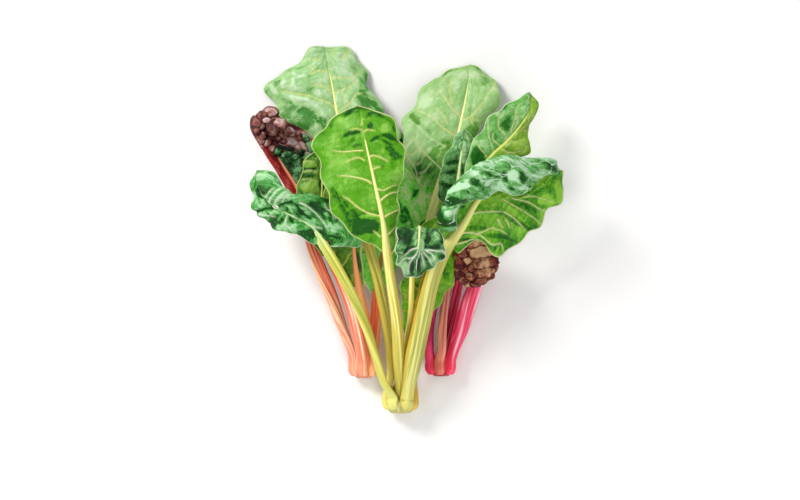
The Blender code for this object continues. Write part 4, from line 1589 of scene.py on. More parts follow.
BLADE_LIGHT = 1.25  # how much brighter than its plain colour an open blade is lit
STALK_LIGHT = 0.88  # the same for a stalk, which stands in the blades' shade
BLADE_DEPTH = 1.12  # how much the sheen greys a blade's colour
STALK_DEPTH = 1.0


def under_light(colour: Colour, light: float, depth: float) -> Colour:
    """The plain colour that looks like this one under the lamps.

    Args:
        colour: The look, as a screen shows it.
        light: How strongly the piece is lit.
        depth: How much more of its hue it needs.

    Returns:
        The colour in linear light.
    """
    plain = np.array(rgb(*colour)) / light
    grey = float(plain @ (0.2126, 0.7152, 0.0722))
    return tuple(float(share) for share in np.clip(grey + (plain - grey) * depth, 0.002, 0.95))


def tones(*colours: Colour, lit: float = BLADE_LIGHT) -> Tones:
    """Tones from colours as a screen shows them."""
    return Tones(*(under_light(colour, lit, BLADE_DEPTH) for colour in colours))


def stem(*colours: Colour, lit: float = STALK_LIGHT, **more: float) -> StalkFinish:
    """A stalk's finish from colours as a screen shows them."""
    return StalkFinish(*(under_light(colour, lit, STALK_DEPTH) for colour in colours), **more)


LIME = tones((32, 92, 20), (98, 168, 50), (154, 208, 102), (232, 230, 144), (222, 234, 168))
LIME_DARK = tones((44, 96, 26), (84, 150, 46), (140, 190, 84), (210, 216, 120), (214, 228, 160))
BROAD = tones((30, 96, 8), (88, 162, 34), (158, 216, 92), (226, 232, 156), (226, 236, 176))
FLAP = tones((18, 80, 24), (100, 168, 90), (200, 238, 200), (222, 238, 196), (236, 246, 222))
TEAL = tones((16, 78, 24), (84, 164, 78), (182, 232, 178), (226, 242, 212), (226, 240, 210))
PALE_UNDER = tones((74, 124, 46), (124, 172, 88), (176, 208, 130), (214, 224, 140), (222, 234, 184))
MINT = tones((78, 142, 66), (166, 210, 144), (212, 240, 200), (222, 228, 138), (214, 230, 190))
PALE = tones((100, 156, 70), (166, 210, 138), (208, 236, 186), (228, 232, 150), (216, 232, 180))
BRIGHT = tones((40, 104, 20), (106, 166, 50), (180, 212, 106), (206, 190, 80), (190, 214, 120))
BOTTLE = tones((10, 56, 18), (64, 126, 60), (168, 212, 154), (228, 242, 218), (236, 246, 226))
MAROON = tones((72, 18, 26), (156, 98, 88), (220, 194, 192), (156, 102, 82), (136, 98, 82))
DARK_BASE = tones((6, 30, 8), (28, 74, 30), (126, 178, 126), (90, 110, 70), (60, 90, 50))
RED_BASE = tones((96, 18, 20), (160, 44, 44), (206, 96, 84), (150, 50, 44), (150, 60, 50))
WALNUT = tones((80, 12, 24), (140, 76, 58), (216, 176, 138), (120, 60, 44), (120, 66, 50))
RIBBED = tones((16, 50, 12), (62, 112, 42), (148, 192, 90), (190, 214, 126), (190, 214, 130))
WEDGE = tones((40, 80, 12), (90, 138, 42), (172, 200, 94), (206, 216, 120), (190, 210, 120))
SHADE = tones((18, 84, 28), (102, 176, 80), (172, 218, 138), (212, 234, 156), (212, 234, 166), lit=0.52)
SPRUCE = tones((26, 80, 28), (94, 150, 84), (168, 216, 158), (190, 212, 150), (206, 228, 180))
THICKET = tones((30, 92, 32), (116, 178, 82), (206, 240, 170), (226, 240, 190), (222, 238, 180))
SEA = tones((44, 112, 38), (118, 184, 98), (188, 234, 168), (206, 226, 150), (222, 238, 196))
LEMON = tones((92, 142, 38), (145, 188, 79), (190, 222, 128), (216, 228, 130), (214, 230, 150))

OCHRE = rgb(206, 172, 52)
GOLD = stem((228, 218, 126), (198, 186, 78), (240, 232, 140), (172, 164, 70), (232, 230, 150), lean=-0.6,
            side=OCHRE, margin=0.5)
GREEN_GOLD = stem((224, 222, 144), (194, 194, 78), (220, 220, 126), (160, 172, 66), (196, 224, 160), lean=0.6,
                  seed=3.0, side=OCHRE, margin=0.3)
RIGHT_GOLD = stem((214, 206, 112), (174, 172, 78), (214, 212, 130), (146, 152, 74), (228, 226, 136),
                  lean=-0.5, seed=12.0, side=OCHRE, margin=0.8)
AMBER = stem((206, 180, 80), (192, 152, 50), (216, 186, 90), (150, 112, 30), (196, 152, 50), seed=5.0)
CORAL_RED = stem((236, 140, 100), (222, 104, 66), (246, 160, 112), (186, 62, 36), (150, 110, 60), lit=0.6,
                 seed=1.0)
CORAL_LEAF = stem((240, 150, 116), (232, 134, 104), (252, 222, 200), (206, 78, 54), (190, 204, 104), lean=0.6,
                  seed=7.0)
SCARLET = stem((238, 140, 110), (226, 116, 88), (250, 200, 164), (172, 50, 34), (96, 56, 44), fade_from=1.3,
               lean=1.1, seed=2.0)
ORANGE = stem((240, 150, 106), (238, 132, 82), (250, 190, 144), (214, 92, 50), (236, 130, 84), lit=0.6,
              seed=4.0)
CRIMSON_RED = stem((206, 26, 50), (214, 62, 90), (244, 156, 168), (160, 10, 48), (112, 66, 50), lit=0.6,
                   lean=0.8, seed=6.0)
CRIMSON_LIME = stem((200, 30, 46), (168, 26, 62), (214, 96, 120), (96, 8, 40), (204, 216, 104), lit=0.62,
                    lean=-1.0, seed=8.0)
MAGENTA = stem((206, 30, 50), (164, 26, 76), (206, 92, 128), (116, 8, 50), (196, 214, 150), lit=0.62,
               lean=-0.6, seed=9.0)
TALL_GOLD = stem((228, 218, 126), (206, 208, 110), (238, 236, 160), (166, 170, 76), (232, 230, 150), lit=0.74,
                 side=OCHRE, margin=0.4, seed=11.0)
PEACH = stem((190, 60, 60), (186, 112, 88), (216, 160, 130), (140, 56, 56), (150, 170, 100), lit=0.68,
             seed=10.0)


def face_pair(upper: Tones, under: Tones, seed: float, veins: Optional[Tones] = None,
              **more: float) -> dict[str, BladeFinish]:
    """The finishes of a blade's two faces.

    Args:
        upper: Tones of the upper face.
        under: Tones of the under face.
        seed: Chooses the cloudy patterns.
        veins: Tones that the side veins take, if not the under face's.
        **more: Fields that both faces share.

    Returns:
        The finishes, by the names of the look's fields.
    """
    return {"upper": BladeFinish(upper, Face.UPPER, seed=seed, **more),
            "under": BladeFinish(under, Face.UNDER, seed=seed + 0.5, **more),
            "side_veins": VeinFinish((veins or under).vein, (veins or under).edge)}


def drawn_veins(*rows: tuple) -> tuple[Vein, ...]:
    """Side veins, one for each row of half, width and places in the layout."""
    return tuple(Vein(side, width, tuple(way), drawn=True) for side, width, *way in rows)


def drawn_folds(*rows: tuple) -> tuple[Fold, ...]:
    """Ridges and creases, one for each row of lift, width, tone and places in the layout."""
    return tuple(Fold(lift, width, tone, tuple(way)) for lift, width, tone, *way in rows)


def many(kind: type, *rows: tuple[float, ...]) -> tuple[Oval, ...]:
    """Ovals of one kind, one for each row of sizes."""
    return tuple(kind(*row) for row in rows)


YELLOW_FRONT = {"veins": drawn_veins(
    (-1, 1.3, (-45, 335), (-38.5, 338), (-30, 336.5)), (-1, 1.8, (-38, 305), (-31.5, 307.5), (-23.5, 305.5),
    (-15, 300.5)), (-1, 1.4, (-33, 291), (-28.5, 292.5), (-23.5, 294)), (-1, 2, (-27, 269), (-18, 266.5),
    (-3.7, 272)), (-1, 2.6, (-24, 253), (-14.5, 260.5), (0.5, 263.5)), (-1, 2.4, (-17.7, 234.7),
    (-11.1, 239.3), (-2, 243)), (-1, 2.4, (-14.5, 213.5), (-8.4, 219.3), (-1, 223)), (-1, 2.4, (-7.8, 184.7),
    (-3.5, 199.5), (3, 211.5)), (1, 1, (-46.4, 338), (-51.7, 339.3), (-58, 338)), (1, 2, (-43.5, 313),
    (-54.5, 312.5), (-66, 312), (-78.5, 312.5)), (1, 1.6, (-42, 302), (-49, 305), (-57, 302.5),
    (-63.5, 299.5)), (1, 3, (-34, 274), (-38.5, 277.5), (-51.5, 281.5), (-73, 283)), (1, 2.4, (-23.5, 235.5),
    (-36, 238.5), (-48, 245), (-57.5, 252.5), (-67.5, 259.5)), (1, 2, (-23.7, 211.3), (-26.5, 214.5),
    (-30.5, 217.5)), (1, 2, (-18.4, 188.7), (-25.1, 195.3), (-31.5, 201)), (-1, 1.6, (-46, 343), (-52, 348),
    (-57, 350)), (1, 1.6, (-45.7, 343.4), (-41.1, 347.3), (-34, 349.5))),
 "folds": drawn_folds(
    (1.4, 1.2, 1.2, (-53, 215), (-44, 221), (-35, 227), (-24, 229)), (-1.8, 1.8, -1, (-52, 234), (-42, 239),
    (-29, 240), (-22, 236)), (1, 1.2, 0.8, (-53, 233), (-43, 236), (-31, 236)), (-1.2, 1.6, -0.8, (-77, 265),
    (-71, 252), (-62, 239)), (0.9, 1.3, 0.6, (-71, 265), (-64, 252), (-55, 241)), (-1.6, 2.2, -0.9,
    (-66, 354), (-54, 363), (-36, 363), (-20, 354), (-6, 338)), (-1.8, 2.2, -1, (-70, 329), (-58, 334),
    (-48, 335)), (-1.8, 2.4, -1, (-34, 325), (-24, 330), (-14, 331), (0, 326)), (-1.2, 2, -0.6, (-66, 315),
    (-62, 319), (-54, 325)), (-1.2, 2.2, -0.6, (-70, 258), (-60, 245), (-44, 225))),
 "patches": many(Patch,
    (-58.8, 333.6, 11.3, 2.4, 20, -1.2), (-58.8, 324, 6, 1.9, 45, -0.8), (-28.8, 328.8, 7.2, 2.4, 30, -1.2),
    (-12, 330.6, 10.8, 2.9, -10, -1.3), (-26.4, 314.4, 9.6, 4.8, 10, -0.8), (-6, 307.2, 7.2, 3.6, -20, -0.9),
    (-34.8, 342, 4.8, 3.6, 0, -0.9), (-57.6, 246, 16.8, 3, -51, -0.5), (-39, 226.8, 15.6, 10.2, -20, -2.1),
    (-46.8, 220.8, 6, 6, 0, -0.9), (-30, 220.8, 6, 5.4, 0, -0.8), (-32.4, 208.8, 7.2, 3.6, 30, -0.6),
    (-36, 223.2, 7.2, 1.4, -25, 0.9), (-34.8, 344.4, 4.8, 4.8, 20, -0.8), (-19.2, 325.2, 10.8, 3.1, -20, -1),
    (-13.2, 315.6, 8.4, 3.6, -10, -0.8), (-25.2, 320.4, 7.2, 2.4, -20, -0.8),
    (-8.4, 297.6, 4.8, 7.2, 0, -0.6), (-60, 338.4, 7.2, 2.4, 20, -0.6), (-51.6, 319.2, 8.4, 1.9, 10, -0.7),
    (-72, 313.2, 15.6, 1.9, -4, -0.6), (-76.8, 259.2, 4.2, 12, 20, -0.6), (-66, 240, 3.6, 10.8, 25, -0.6),
    (-20.4, 300, 3.6, 9.6, 0, -0.4), (-54, 308.4, 10.8, 3.6, 0, 0.3), (-40.8, 337.2, 4.8, 7.2, 0, 0.4),
    (-20.4, 338.4, 6, 4.8, 0, 0.4), (-79.2, 349.2, 10.8, 2.9, 60, -0.5), (-66, 358.8, 9.6, 2.4, 20, -0.5),
    (-45.6, 360.6, 9.6, 2.4, 0, -0.4), (-36, 356.4, 8.4, 2.4, 35, -0.6), (-57.6, 348, 16.8, 7.2, 0, 0.5),
    (-74.4, 327.6, 10.8, 8.4, 0, 0.5), (-16.8, 340.8, 9.6, 6, 20, 0.5), (-25.2, 313.2, 9.6, 2.9, 0, 0.4),
    (-28.8, 354, 6, 4.8, 0, 0.4), (-76.8, 294, 12, 7.2, 0, 0.4), (-7.2, 217.2, 6, 16.8, 10, -0.4),
    (-60, 224.4, 10.8, 4.8, -50, -0.5), (-67.2, 248.4, 16.8, 6, -55, -0.5))}
YELLOW_RIGHT = {"veins": drawn_veins(
    (-1, 2.6, (71, 228), (78, 235.5), (90, 239.5), (106, 241), (123, 241)), (-1, 2.6, (66, 214),
    (79.3, 216.3), (92.7, 214.3), (106, 206), (119.5, 202.5), (124.5, 190.5)), (-1, 2, (90, 215),
    (106, 220.5), (116.5, 219), (127.5, 214.5)), (-1, 2.6, (66, 202.5), (79.5, 205.5), (104.7, 199.6),
    (123.5, 187)), (-1, 1.8, (123, 241), (135.5, 233), (147, 221)), (-1, 1.8, (133, 257), (151, 253),
    (167.5, 243.5), (180.5, 235.5)), (-1, 1.6, (122, 255.5), (140.5, 245), (159, 234.5), (171, 224)),
    (-1, 1.4, (115.5, 233), (119, 226), (122, 222)), (-1, 1.4, (125, 233), (128, 228), (130, 222.5)),
    (-1, 1.4, (146, 259.5), (162, 258.3), (180.5, 253))),
 "folds": drawn_folds(
    (1.6, 1.5, 1, (119, 274), (130, 262), (145, 258), (154, 262), (173, 277), (191, 295))),
 "patches": many(Patch,
    (132, 284.4, 7.2, 6, 20, 1.3), (142.8, 271.2, 6, 3.6, 0, 1), (129.6, 271.2, 4.8, 2.4, -30, -1),
    (142.8, 282, 3.6, 6, 0, -0.8), (94.8, 295.2, 7.2, 2.4, 15, 0.8), (87.6, 277.2, 6, 6, 0, -0.6),
    (75.6, 248.4, 4.8, 6, 0, -0.5), (118.8, 291.6, 8.4, 4.8, 0, -0.4), (156, 291.6, 9.6, 3.6, -20, -0.3),
    (174, 295.2, 8.4, 3, 0, -0.3), (100.8, 284.4, 10.8, 3.6, -15, -0.8), (105.6, 274.8, 7.2, 3.6, 10, 0.6),
    (88.8, 274.8, 9.6, 3.6, -35, -0.6), (115.2, 278.4, 7.2, 3.6, 10, -0.4), (169.2, 283.2, 12, 4.8, -10, 0.3),
    (177.6, 291.6, 6, 7.2, 0, -0.4), (123.6, 280.8, 3, 7.2, 20, -0.9), (152.4, 267.6, 3.6, 6, 0, -0.6),
    (188.4, 265.2, 4.8, 13.2, 0, 0.9), (68.4, 267.6, 12, 3.8, 20, 2.4), (62.4, 252, 14.4, 4.8, 10, -2.2),
    (48, 238.8, 8.4, 9.6, 0, -1.2), (62.4, 241.2, 9.6, 3, 10, 1.2), (54, 229.2, 14.4, 3.6, 0, -2),
    (174, 255.6, 9.6, 9.6, 0, 0.7), (96, 204, 26.4, 3.6, -10, -0.9), (138, 229.2, 28.8, 3.6, -30, -0.9),
    (120, 210, 24, 2.9, -12, -0.8), (90, 222, 16.8, 2.9, -4, -0.7), (108, 252, 24, 6, 20, 0.2),
    (152.4, 246, 16.8, 3.6, -25, -0.6)),
 "puffs": many(Puff,
    (97.2, 294, 13.2, 7.2, 15, 2.5, -0.2), (103.2, 283.2, 15.6, 6.6, -5, 2.8, 0),
    (120, 292.8, 10.2, 7.8, 0, 3, -0.2), (136.8, 277.2, 15, 15.6, 0, 3.6, 0),
    (157.2, 290.4, 9.6, 7.2, 0, 3, 0), (170.4, 294, 8.4, 6, 0, 2.8, 0), (152.4, 274.8, 6, 7.2, 0, 2.6, 0.1),
    (168, 285.6, 7.2, 4.8, 30, 2.4, 0), (181.2, 291.6, 7.2, 6, 0, 2, 0),
    (68.4, 260.4, 15.6, 11.4, 18, 4.4, 0), (52.8, 238.8, 11.4, 11.4, 8, 4, -0.2))}
YELLOW_LEFT = {"veins": drawn_veins(
    (1, 2.2, (-153.5, 249.5), (-152.4, 256.8), (-147.6, 262.8), (-140.5, 267.5)), (1, 2, (-147.6, 248.4),
    (-145.2, 255.6), (-140.5, 260.5), (-134.4, 265.2)), (1, 1.8, (-140, 251), (-138, 255.5), (-133.2, 260.4),
    (-129.6, 262.8)), (1, 1.8, (-161, 248), (-159.5, 255.5), (-156, 261.5), (-149, 269)), (-1, 2.2,
    (-134.5, 243.5), (-133.2, 236.4), (-135.5, 229.5), (-131, 221)), (1, 2.2, (-117.5, 252), (-106, 245),
    (-94.5, 234), (-87.5, 222)), (1, 2, (-75.6, 232.8), (-80.5, 240), (-86.5, 245)), (1, 1.8, (-125, 234),
    (-115.5, 227), (-104.5, 223), (-93.5, 222)), (-1, 1.4, (-165.5, 238.5), (-158.4, 236.4),
    (-148.8, 235.2))),
 "folds": drawn_folds(
    (1.6, 1.3, 1.3, (-143, 247), (-139, 239), (-144, 230), (-142, 221)), (1.5, 1.3, 1.2, (-130, 247),
    (-126, 239), (-120, 230), (-108, 227)), (-1.8, 1.8, -1.3, (-134, 246), (-133, 238), (-127, 228)),
    (-1.6, 1.8, -1.3, (-122, 247), (-116, 239), (-107, 233)), (1.2, 1.2, 1.3, (-84, 248), (-79, 236),
    (-85, 224)), (-1.6, 1.6, -1.2, (-158, 241), (-154, 233), (-157, 223)), (1.2, 1.4, 1.1, (-178, 283),
    (-166, 284), (-154, 280), (-143, 276)), (1.4, 1.3, 1, (-115, 215), (-96, 220), (-74, 217), (-60, 208)),
    (-1.4, 1.8, -1.2, (-110, 209), (-91, 214), (-72, 210)), (-3, 2.4, -1.6, (-170, 241), (-161, 244),
    (-150, 246), (-139, 250), (-128, 253)), (1.4, 1.6, 1, (-154, 251), (-151, 258), (-145, 264), (-138, 268)),
    (1.4, 1.6, 0.9, (-146, 250), (-143, 257), (-137, 262), (-133, 265)), (1.4, 1.6, 0.7, (-163, 247),
    (-161, 256), (-156, 262), (-148, 268)), (2, 1.8, 1, (-134, 241), (-132, 234), (-136, 227), (-130, 220)),
    (-1.8, 2.4, -1, (-124, 250), (-116, 240), (-106, 233)), (2, 1.6, 1.2, (-118, 252), (-106, 245),
    (-94, 233), (-86, 222)), (2, 1.6, 1, (-77, 230), (-83, 241), (-90, 250)), (-1.6, 3, -1, (-106, 252),
    (-96, 244), (-89, 233)), (1.6, 1.8, 0.5, (-122, 233), (-113, 224), (-101, 221)), (-1.4, 2, -0.7,
    (-120, 217), (-103, 215), (-84, 216)), (1.2, 1.6, 0.4, (-120, 212), (-101, 211), (-82, 216))),
 "patches": many(Patch,
    (-165.6, 266.4, 6, 8.4, 20, -0.9), (-165.6, 282, 10.8, 4.8, 20, 0.6),
    (-146.4, 284.4, 8.4, 2.2, -35, -1.8), (-100.8, 243.6, 9.6, 10.8, -40, -0.7),
    (-132, 230.4, 4.8, 9.6, 10, -0.7), (-150, 231.6, 3.6, 8.4, 10, -0.6), (-117.6, 229.2, 6, 8.4, -20, -0.7),
    (-153.6, 232.8, 21.6, 7.2, 6, -0.9), (-98.4, 218.4, 14.4, 4.8, 10, -0.8), (-96, 229.2, 6, 7.2, 0, -0.4),
    (-156, 237.6, 10.8, 3.6, 10, 0.6), (-132, 224.4, 12, 2.9, 5, 0.6), (-138, 255.6, 7.2, 3.6, 10, -0.4),
    (-165.6, 252, 7.2, 3.6, 0, -0.1), (-151.2, 262.8, 14.4, 7.2, 0, -0.5), (-132, 260.4, 3, 6, 0, 0.9),
    (-105.6, 224.4, 12, 3.6, 0, 0.1), (-120, 237.6, 4.8, 10.8, -40, -0.6), (-93.6, 247.2, 12, 9.6, -30, -0.6),
    (-110.4, 238.8, 7.2, 4.8, 20, 0.7), (-78, 238.8, 7.2, 12, 0, -1.2), (-108, 214.8, 24, 4.8, 5, -0.6),
    (-74.4, 210, 19.2, 7.2, 10, -0.7), (-174, 258, 3.6, 10.8, 0, 0.7)),
 "puffs": many(Puff,
    (-145.2, 259.2, 16.8, 10.8, 10, 4.5, 0.2), (-169.2, 249.6, 13.2, 8.4, 10, 3.5, 0.2),
    (-146.4, 282, 12, 4.8, -32, 2.5, 0))}
YELLOW_TALL_LEFT = {"veins": drawn_veins(
    (-1, 2, (-74, 364), (-84, 371), (-96, 375.5), (-110.5, 380.5), (-126, 383), (-138, 386)), (-1, 1.8,
    (-80.5, 381.5), (-88, 390), (-97, 393.5), (-106.5, 392.5)), (-1, 1.6, (-90, 409.5), (-98.5, 410.5),
    (-108, 407)), (-1, 1, (-95, 423.5), (-102, 424.5), (-109.5, 425)), (1, 2, (-78, 384), (-72, 386.5),
    (-62.5, 390), (-56.4, 394.8), (-51.5, 400.5)), (1, 1.8, (-85, 402), (-74.4, 402), (-63.5, 401),
    (-55, 403), (-50.5, 409)), (1, 2, (-72, 362.5), (-60, 371), (-56.5, 376), (-52.5, 381.5), (-45.5, 383)),
    (1, 0.9, (-69.6, 423.6), (-66, 427), (-61, 434)), (1, 0.9, (-83, 429.5), (-81.6, 433.2), (-79.2, 435.6)),
    (1, 1, (-67, 371), (-67, 378), (-63.5, 386.5)), (-1, 1, (-104.4, 412.8), (-106.8, 414.6),
    (-109.5, 416.5))),
 "folds": drawn_folds(
    (-1.8, 2.4, -0.8, (-138, 386), (-126, 383), (-114, 380)), (-1.6, 3, -0.9, (-120, 361), (-113, 364),
    (-103, 356), (-96, 347), (-90, 338)), (1.2, 2.4, 0.9, (-127, 406), (-120, 403), (-112, 403)),
    (1.2, 2.2, 0.9, (-128, 400), (-127, 394), (-124, 389)), (1.6, 4, 0.8, (-126, 378), (-108, 374),
    (-98, 366), (-91, 354))),
 "patches": many(Patch,
    (-122.4, 357.6, 31.2, 16.8, -40, -0.8), (-112.8, 360, 10.8, 3.6, -20, -0.9),
    (-115.2, 344.4, 8.4, 3, -30, -0.9), (-91.2, 346.8, 3.6, 12, 15, -0.9), (-42, 397.2, 8.4, 14.4, -20, -0.6),
    (-38.4, 370.8, 16.8, 10.8, -35, -0.9), (-18, 356.4, 12, 7.2, -40, -0.9), (-72, 418.8, 16.8, 14.4, 0, 0.5),
    (-98.4, 384, 3.6, 3.6, 0, 1.6), (-140.4, 396, 3.6, 7.2, 10, 1.3), (-148.8, 387.6, 3, 6, 20, 1.3),
    (-120, 374.4, 16.8, 6, -20, 1), (-60, 423.6, 9.6, 9.6, 0, 0.5), (-108, 390, 7.2, 4.8, 0, -0.5))}
YELLOW_TALL_RIGHT = {"veins": drawn_veins(
    (-1, 1.8, (49.2, 291.6), (37, 303.5), (25.5, 317), (13, 331)), (-1, 1.4, (24, 275), (17, 291.5),
    (11, 308), (5, 324)), (-1, 0.9, (13.5, 309.5), (18, 312), (21.5, 317)), (-1, 0.9, (19, 297.5), (25, 301),
    (29, 308.5)), (-1, 0.9, (23, 287), (30, 290.5), (36, 299)), (-1, 2.2, (73, 353), (68.5, 358.5),
    (60, 367.5), (55, 375.5), (46.5, 386.5)), (-1, 2.4, (67, 331), (57.5, 337.5), (49, 343.5), (42, 351.5),
    (33.5, 357.5), (21.5, 362.5)), (-1, 0.9, (56.5, 346.5), (52.5, 354), (48, 361), (41, 366)), (1, 2.2,
    (74.5, 350.5), (79.2, 352.8), (85.5, 356.5), (93.5, 365), (103.2, 378), (110.5, 390), (113, 397)),
    (1, 1.2, (85.2, 355.2), (89, 351.5), (97.2, 350.4)), (1, 1, (84, 354), (85, 349), (87.5, 345.5)), (-1, 1,
    (62.5, 370.5), (59, 385), (61.5, 399.5))),
 "folds": drawn_folds(
    (1.6, 1.8, 0.9, (14, 350), (24, 340), (34, 330), (42, 325), (54, 319)), (-1.4, 2.6, -0.7, (17, 356),
    (25, 346), (36, 335))),
 "patches": many(Patch,
    (100.8, 397.2, 6, 6, 0, -0.9), (19.2, 351.6, 4.8, 9.6, 30, -0.9), (55.2, 406.8, 9.6, 2.9, 40, -0.8),
    (43.2, 394.8, 7.2, 4.8, 50, -0.5), (84, 368.4, 4.8, 9.6, 10, -0.7), (55.2, 324, 10.8, 6, -30, -0.6),
    (84, 339.6, 14.4, 7.2, 40, -1.1), (79.2, 405.6, 16.8, 6, 0, 0.7), (66, 390, 6, 10.8, 0, 0.6),
    (30, 375.6, 9.6, 9.6, 40, 0.6), (48, 354, 9.6, 7.2, -40, 0.7), (63.6, 354, 6, 6, 0, 0.4),
    (12, 345.6, 8.4, 7.2, 40, 0.2), (28.8, 300, 20.4, 12, 40, -0.6), (38.4, 289.2, 16.8, 12, 0, -0.6),
    (15.6, 315.6, 9.6, 12, 0, -0.3), (19.2, 294, 6, 9.6, 0, -0.6), (33.6, 313.2, 8.4, 3.6, 45, 0.9))}
YELLOW_INNER = {"veins": drawn_veins(
    (-1, 1.4, (24, 147.5), (18, 151.2), (13.2, 157.2)), (-1, 1.4, (19, 132), (14.5, 137), (7.2, 140.4)),
    (-1, 1.4, (15.6, 121.2), (9.5, 122.5), (2.4, 122.4)), (1, 1.2, (25.2, 148.8), (28.5, 150), (33.5, 152.5)),
    (1, 1.2, (28, 161), (32.5, 162), (38, 164.5)), (1, 1.2, (21.6, 134.4), (26.5, 138), (31, 140.5)),
    (-1, 1.2, (26, 160), (20.4, 163.2), (14.4, 165.6))),
 "patches": many(Patch,
    (4.8, 93.6, 4.8, 12, 0, -0.6), (15.6, 154.8, 6, 6, 0, -0.8), (57.6, 171.6, 6, 12, 0, -0.8),
    (48, 147.6, 9.6, 9.6, 0, -0.5), (9.6, 135.6, 6, 16.8, 0, 0.3), (62.4, 153.6, 4.8, 12, 0, 0.3),
    (60, 181.2, 3.6, 8.4, 0, 0.2))}
YELLOW_CURLED = {"veins": drawn_veins(
    (1, 2.2, (23, 198), (13.2, 195.6), (4.8, 188.4)), (1, 2, (22, 194), (15.6, 187.2), (6, 185), (-1, 179)),
    (1, 1.8, (22, 193), (14.4, 184.8), (10.8, 178.8), (10.5, 168)), (-1, 1.8, (22.8, 192), (19, 183.5),
    (19, 170.5)), (-1, 1.8, (25.2, 192), (27.6, 181.2), (28.8, 174)), (-1, 1.8, (27.5, 193), (33.5, 186),
    (37.2, 177.6)), (-1, 1.8, (30, 195.5), (38.5, 190.5), (43, 182.5)), (-1, 1.8, (29, 195.5), (38.5, 195.5),
    (48, 194.5), (54, 190.5))),
 "patches": many(Patch,
    (9.6, 195.6, 8.4, 3.6, 20, -1.8), (14.4, 175.2, 3.1, 9.6, 0, -1.5), (21.6, 178.8, 2.4, 9.6, 0, -1.6),
    (32.4, 181.2, 2.4, 7.2, 20, -1), (40.8, 199.2, 12, 3.6, 0, -1.8), (33.6, 207.6, 3.6, 6, -30, -1.4),
    (40.8, 208.8, 6, 4.8, 0, 0.1), (2.4, 174, 6, 7.2, 0, 0.4), (4.8, 210, 10.8, 9.6, 0, -1.2),
    (33.6, 212.4, 3.6, 9.6, 10, -0.9), (24, 200.4, 3.6, 6, 0, 2.2), (49.2, 189.6, 4.8, 3.6, 0, -1.2),
    (50.4, 210, 3.6, 7.2, 0, -0.9)),
 "puffs": many(Puff,
    (40.8, 207.6, 8.4, 8.4, 0, 1.5, -0.2))}
CORAL_OUTER = {"veins": (),
 "patches": many(Patch,
    (-126, 322.8, 14.4, 4.8, -42, 0.9), (-111.6, 310.8, 8.4, 6, -45, 0.8),
    (-124.8, 340.8, 13.2, 3.6, -12, -1), (-168, 339.6, 8.4, 10.8, 0, 0.1)),
 "puffs": many(Puff,
    (-120, 315.6, 7.2, 6, 0, 1.5, 0.2)),
 "lobes": many(Lobe,
    (-133.2, 337.2, 10.8, 7.2, -28, 0.3, 0), (-121.2, 332.4, 9.6, 6.6, -35, 0, -0.3),
    (-146.4, 319.2, 8.4, 4.8, -30, 0, -0.6), (-116.4, 320.4, 9.6, 4.8, -45, 0.2, 0.1),
    (-142.8, 346.2, 9.6, 7.2, -20, 1, 0.2), (-154.2, 359.4, 10.8, 7.2, 0, 0.8, 0.1),
    (-164.4, 355.2, 6.6, 6, 0, 1, 0.1), (-159, 349.8, 5.4, 3.8, 0, 1.6, 0.2),
    (-171, 346.8, 6, 6.6, 0, 0.4, 0), (-165, 343.2, 4.8, 4.8, 0, 1.2, 0.1),
    (-170.4, 337.2, 5.4, 5.4, 0, 0.6, 0.1), (-164.4, 332.4, 5.4, 6, 0, 1, -0.1),
    (-165.6, 325.2, 4.8, 4.2, 0, 0.6, 0.1), (-158.4, 323.4, 5.4, 5.4, 0, 1, 0),
    (-153, 316.8, 6, 4.8, -30, 0.8, 0.2), (-148.8, 322.8, 5.4, 4.2, -20, 1.4, -0.5),
    (-147, 330, 6.6, 5.4, 0, 1.8, -0.3), (-139.8, 326.4, 6, 4.8, 0, 1.4, -0.5),
    (-155.4, 330, 5.4, 5.4, 0, 1.6, -0.4), (-153, 340.8, 10.8, 9, -28, 2.6, 0.2),
    (-147, 313.2, 6.6, 6, 0, 1.6, 0, True), (-136.2, 309.6, 7.8, 5.4, 10, 1.8, 0.5, True),
    (-125.4, 307.2, 6.6, 4.8, 10, 1.6, 0.4, True), (-141.6, 318.6, 7.2, 3.6, -20, 0.8, -0.6, True),
    (-130.8, 316.8, 7.2, 3.6, -20, 0.8, -0.7, True), (-118.2, 312, 4.8, 5.4, 0, 0.8, -0.5, True),
    (-116.4, 302.4, 6, 4.8, 0, 0.8, -0.3, True), (-132, 301.2, 7.2, 4.8, 0, 0.8, -0.5, True),
    (-114, 330, 7.2, 4.8, -42, 0.8, 0.7, True), (-106.8, 319.2, 6.6, 10.8, 28, 1, 0.8, True))}
CORAL_LEFT = {"veins": drawn_veins(
    (1, 1.4, (-116, 299), (-109.2, 300), (-100.8, 300)), (1, 1.4, (-116.4, 289.2), (-108, 290.4),
    (-98.5, 288)), (1, 1.4, (-116.5, 279.5), (-108, 280.5), (-98.4, 277.2))),
 "patches": many(Patch,
    (-108, 296.4, 10.8, 2.4, 0, 0.8), (-106.8, 291.6, 10.8, 1.9, 0, -1.6),
    (-106.8, 284.4, 10.8, 3.6, 0, -0.9), (-108, 270, 12, 7.2, -10, 0.9), (-120, 289.2, 3.6, 12, 0, -1.8),
    (-93.6, 273.6, 3.6, 10.8, 10, -1.4), (-114, 259.2, 10.8, 3.6, 0, 0.4)),
 "puffs": many(Puff,
    (-108, 270, 14.4, 10.8, -10, 3, 0.4), (-106.8, 285.6, 12, 6, 0, 2.4, 0),
    (-108, 296.4, 12, 4.8, 0, 2.2, 0.3))}
CORAL_MIDDLE = {"veins": drawn_veins(
    (1, 1.6, (-72, 174), (-64.8, 182.4), (-57.5, 193))),
 "patches": many(Patch,
    (-70.8, 188.4, 9.6, 10.8, 0, -0.2), (-64.8, 165.6, 4.8, 9.6, 20, -1.2), (-80.4, 195.6, 4.8, 7.2, 0, 0.6),
    (-50.4, 181.2, 4.8, 12, 0, -2))}
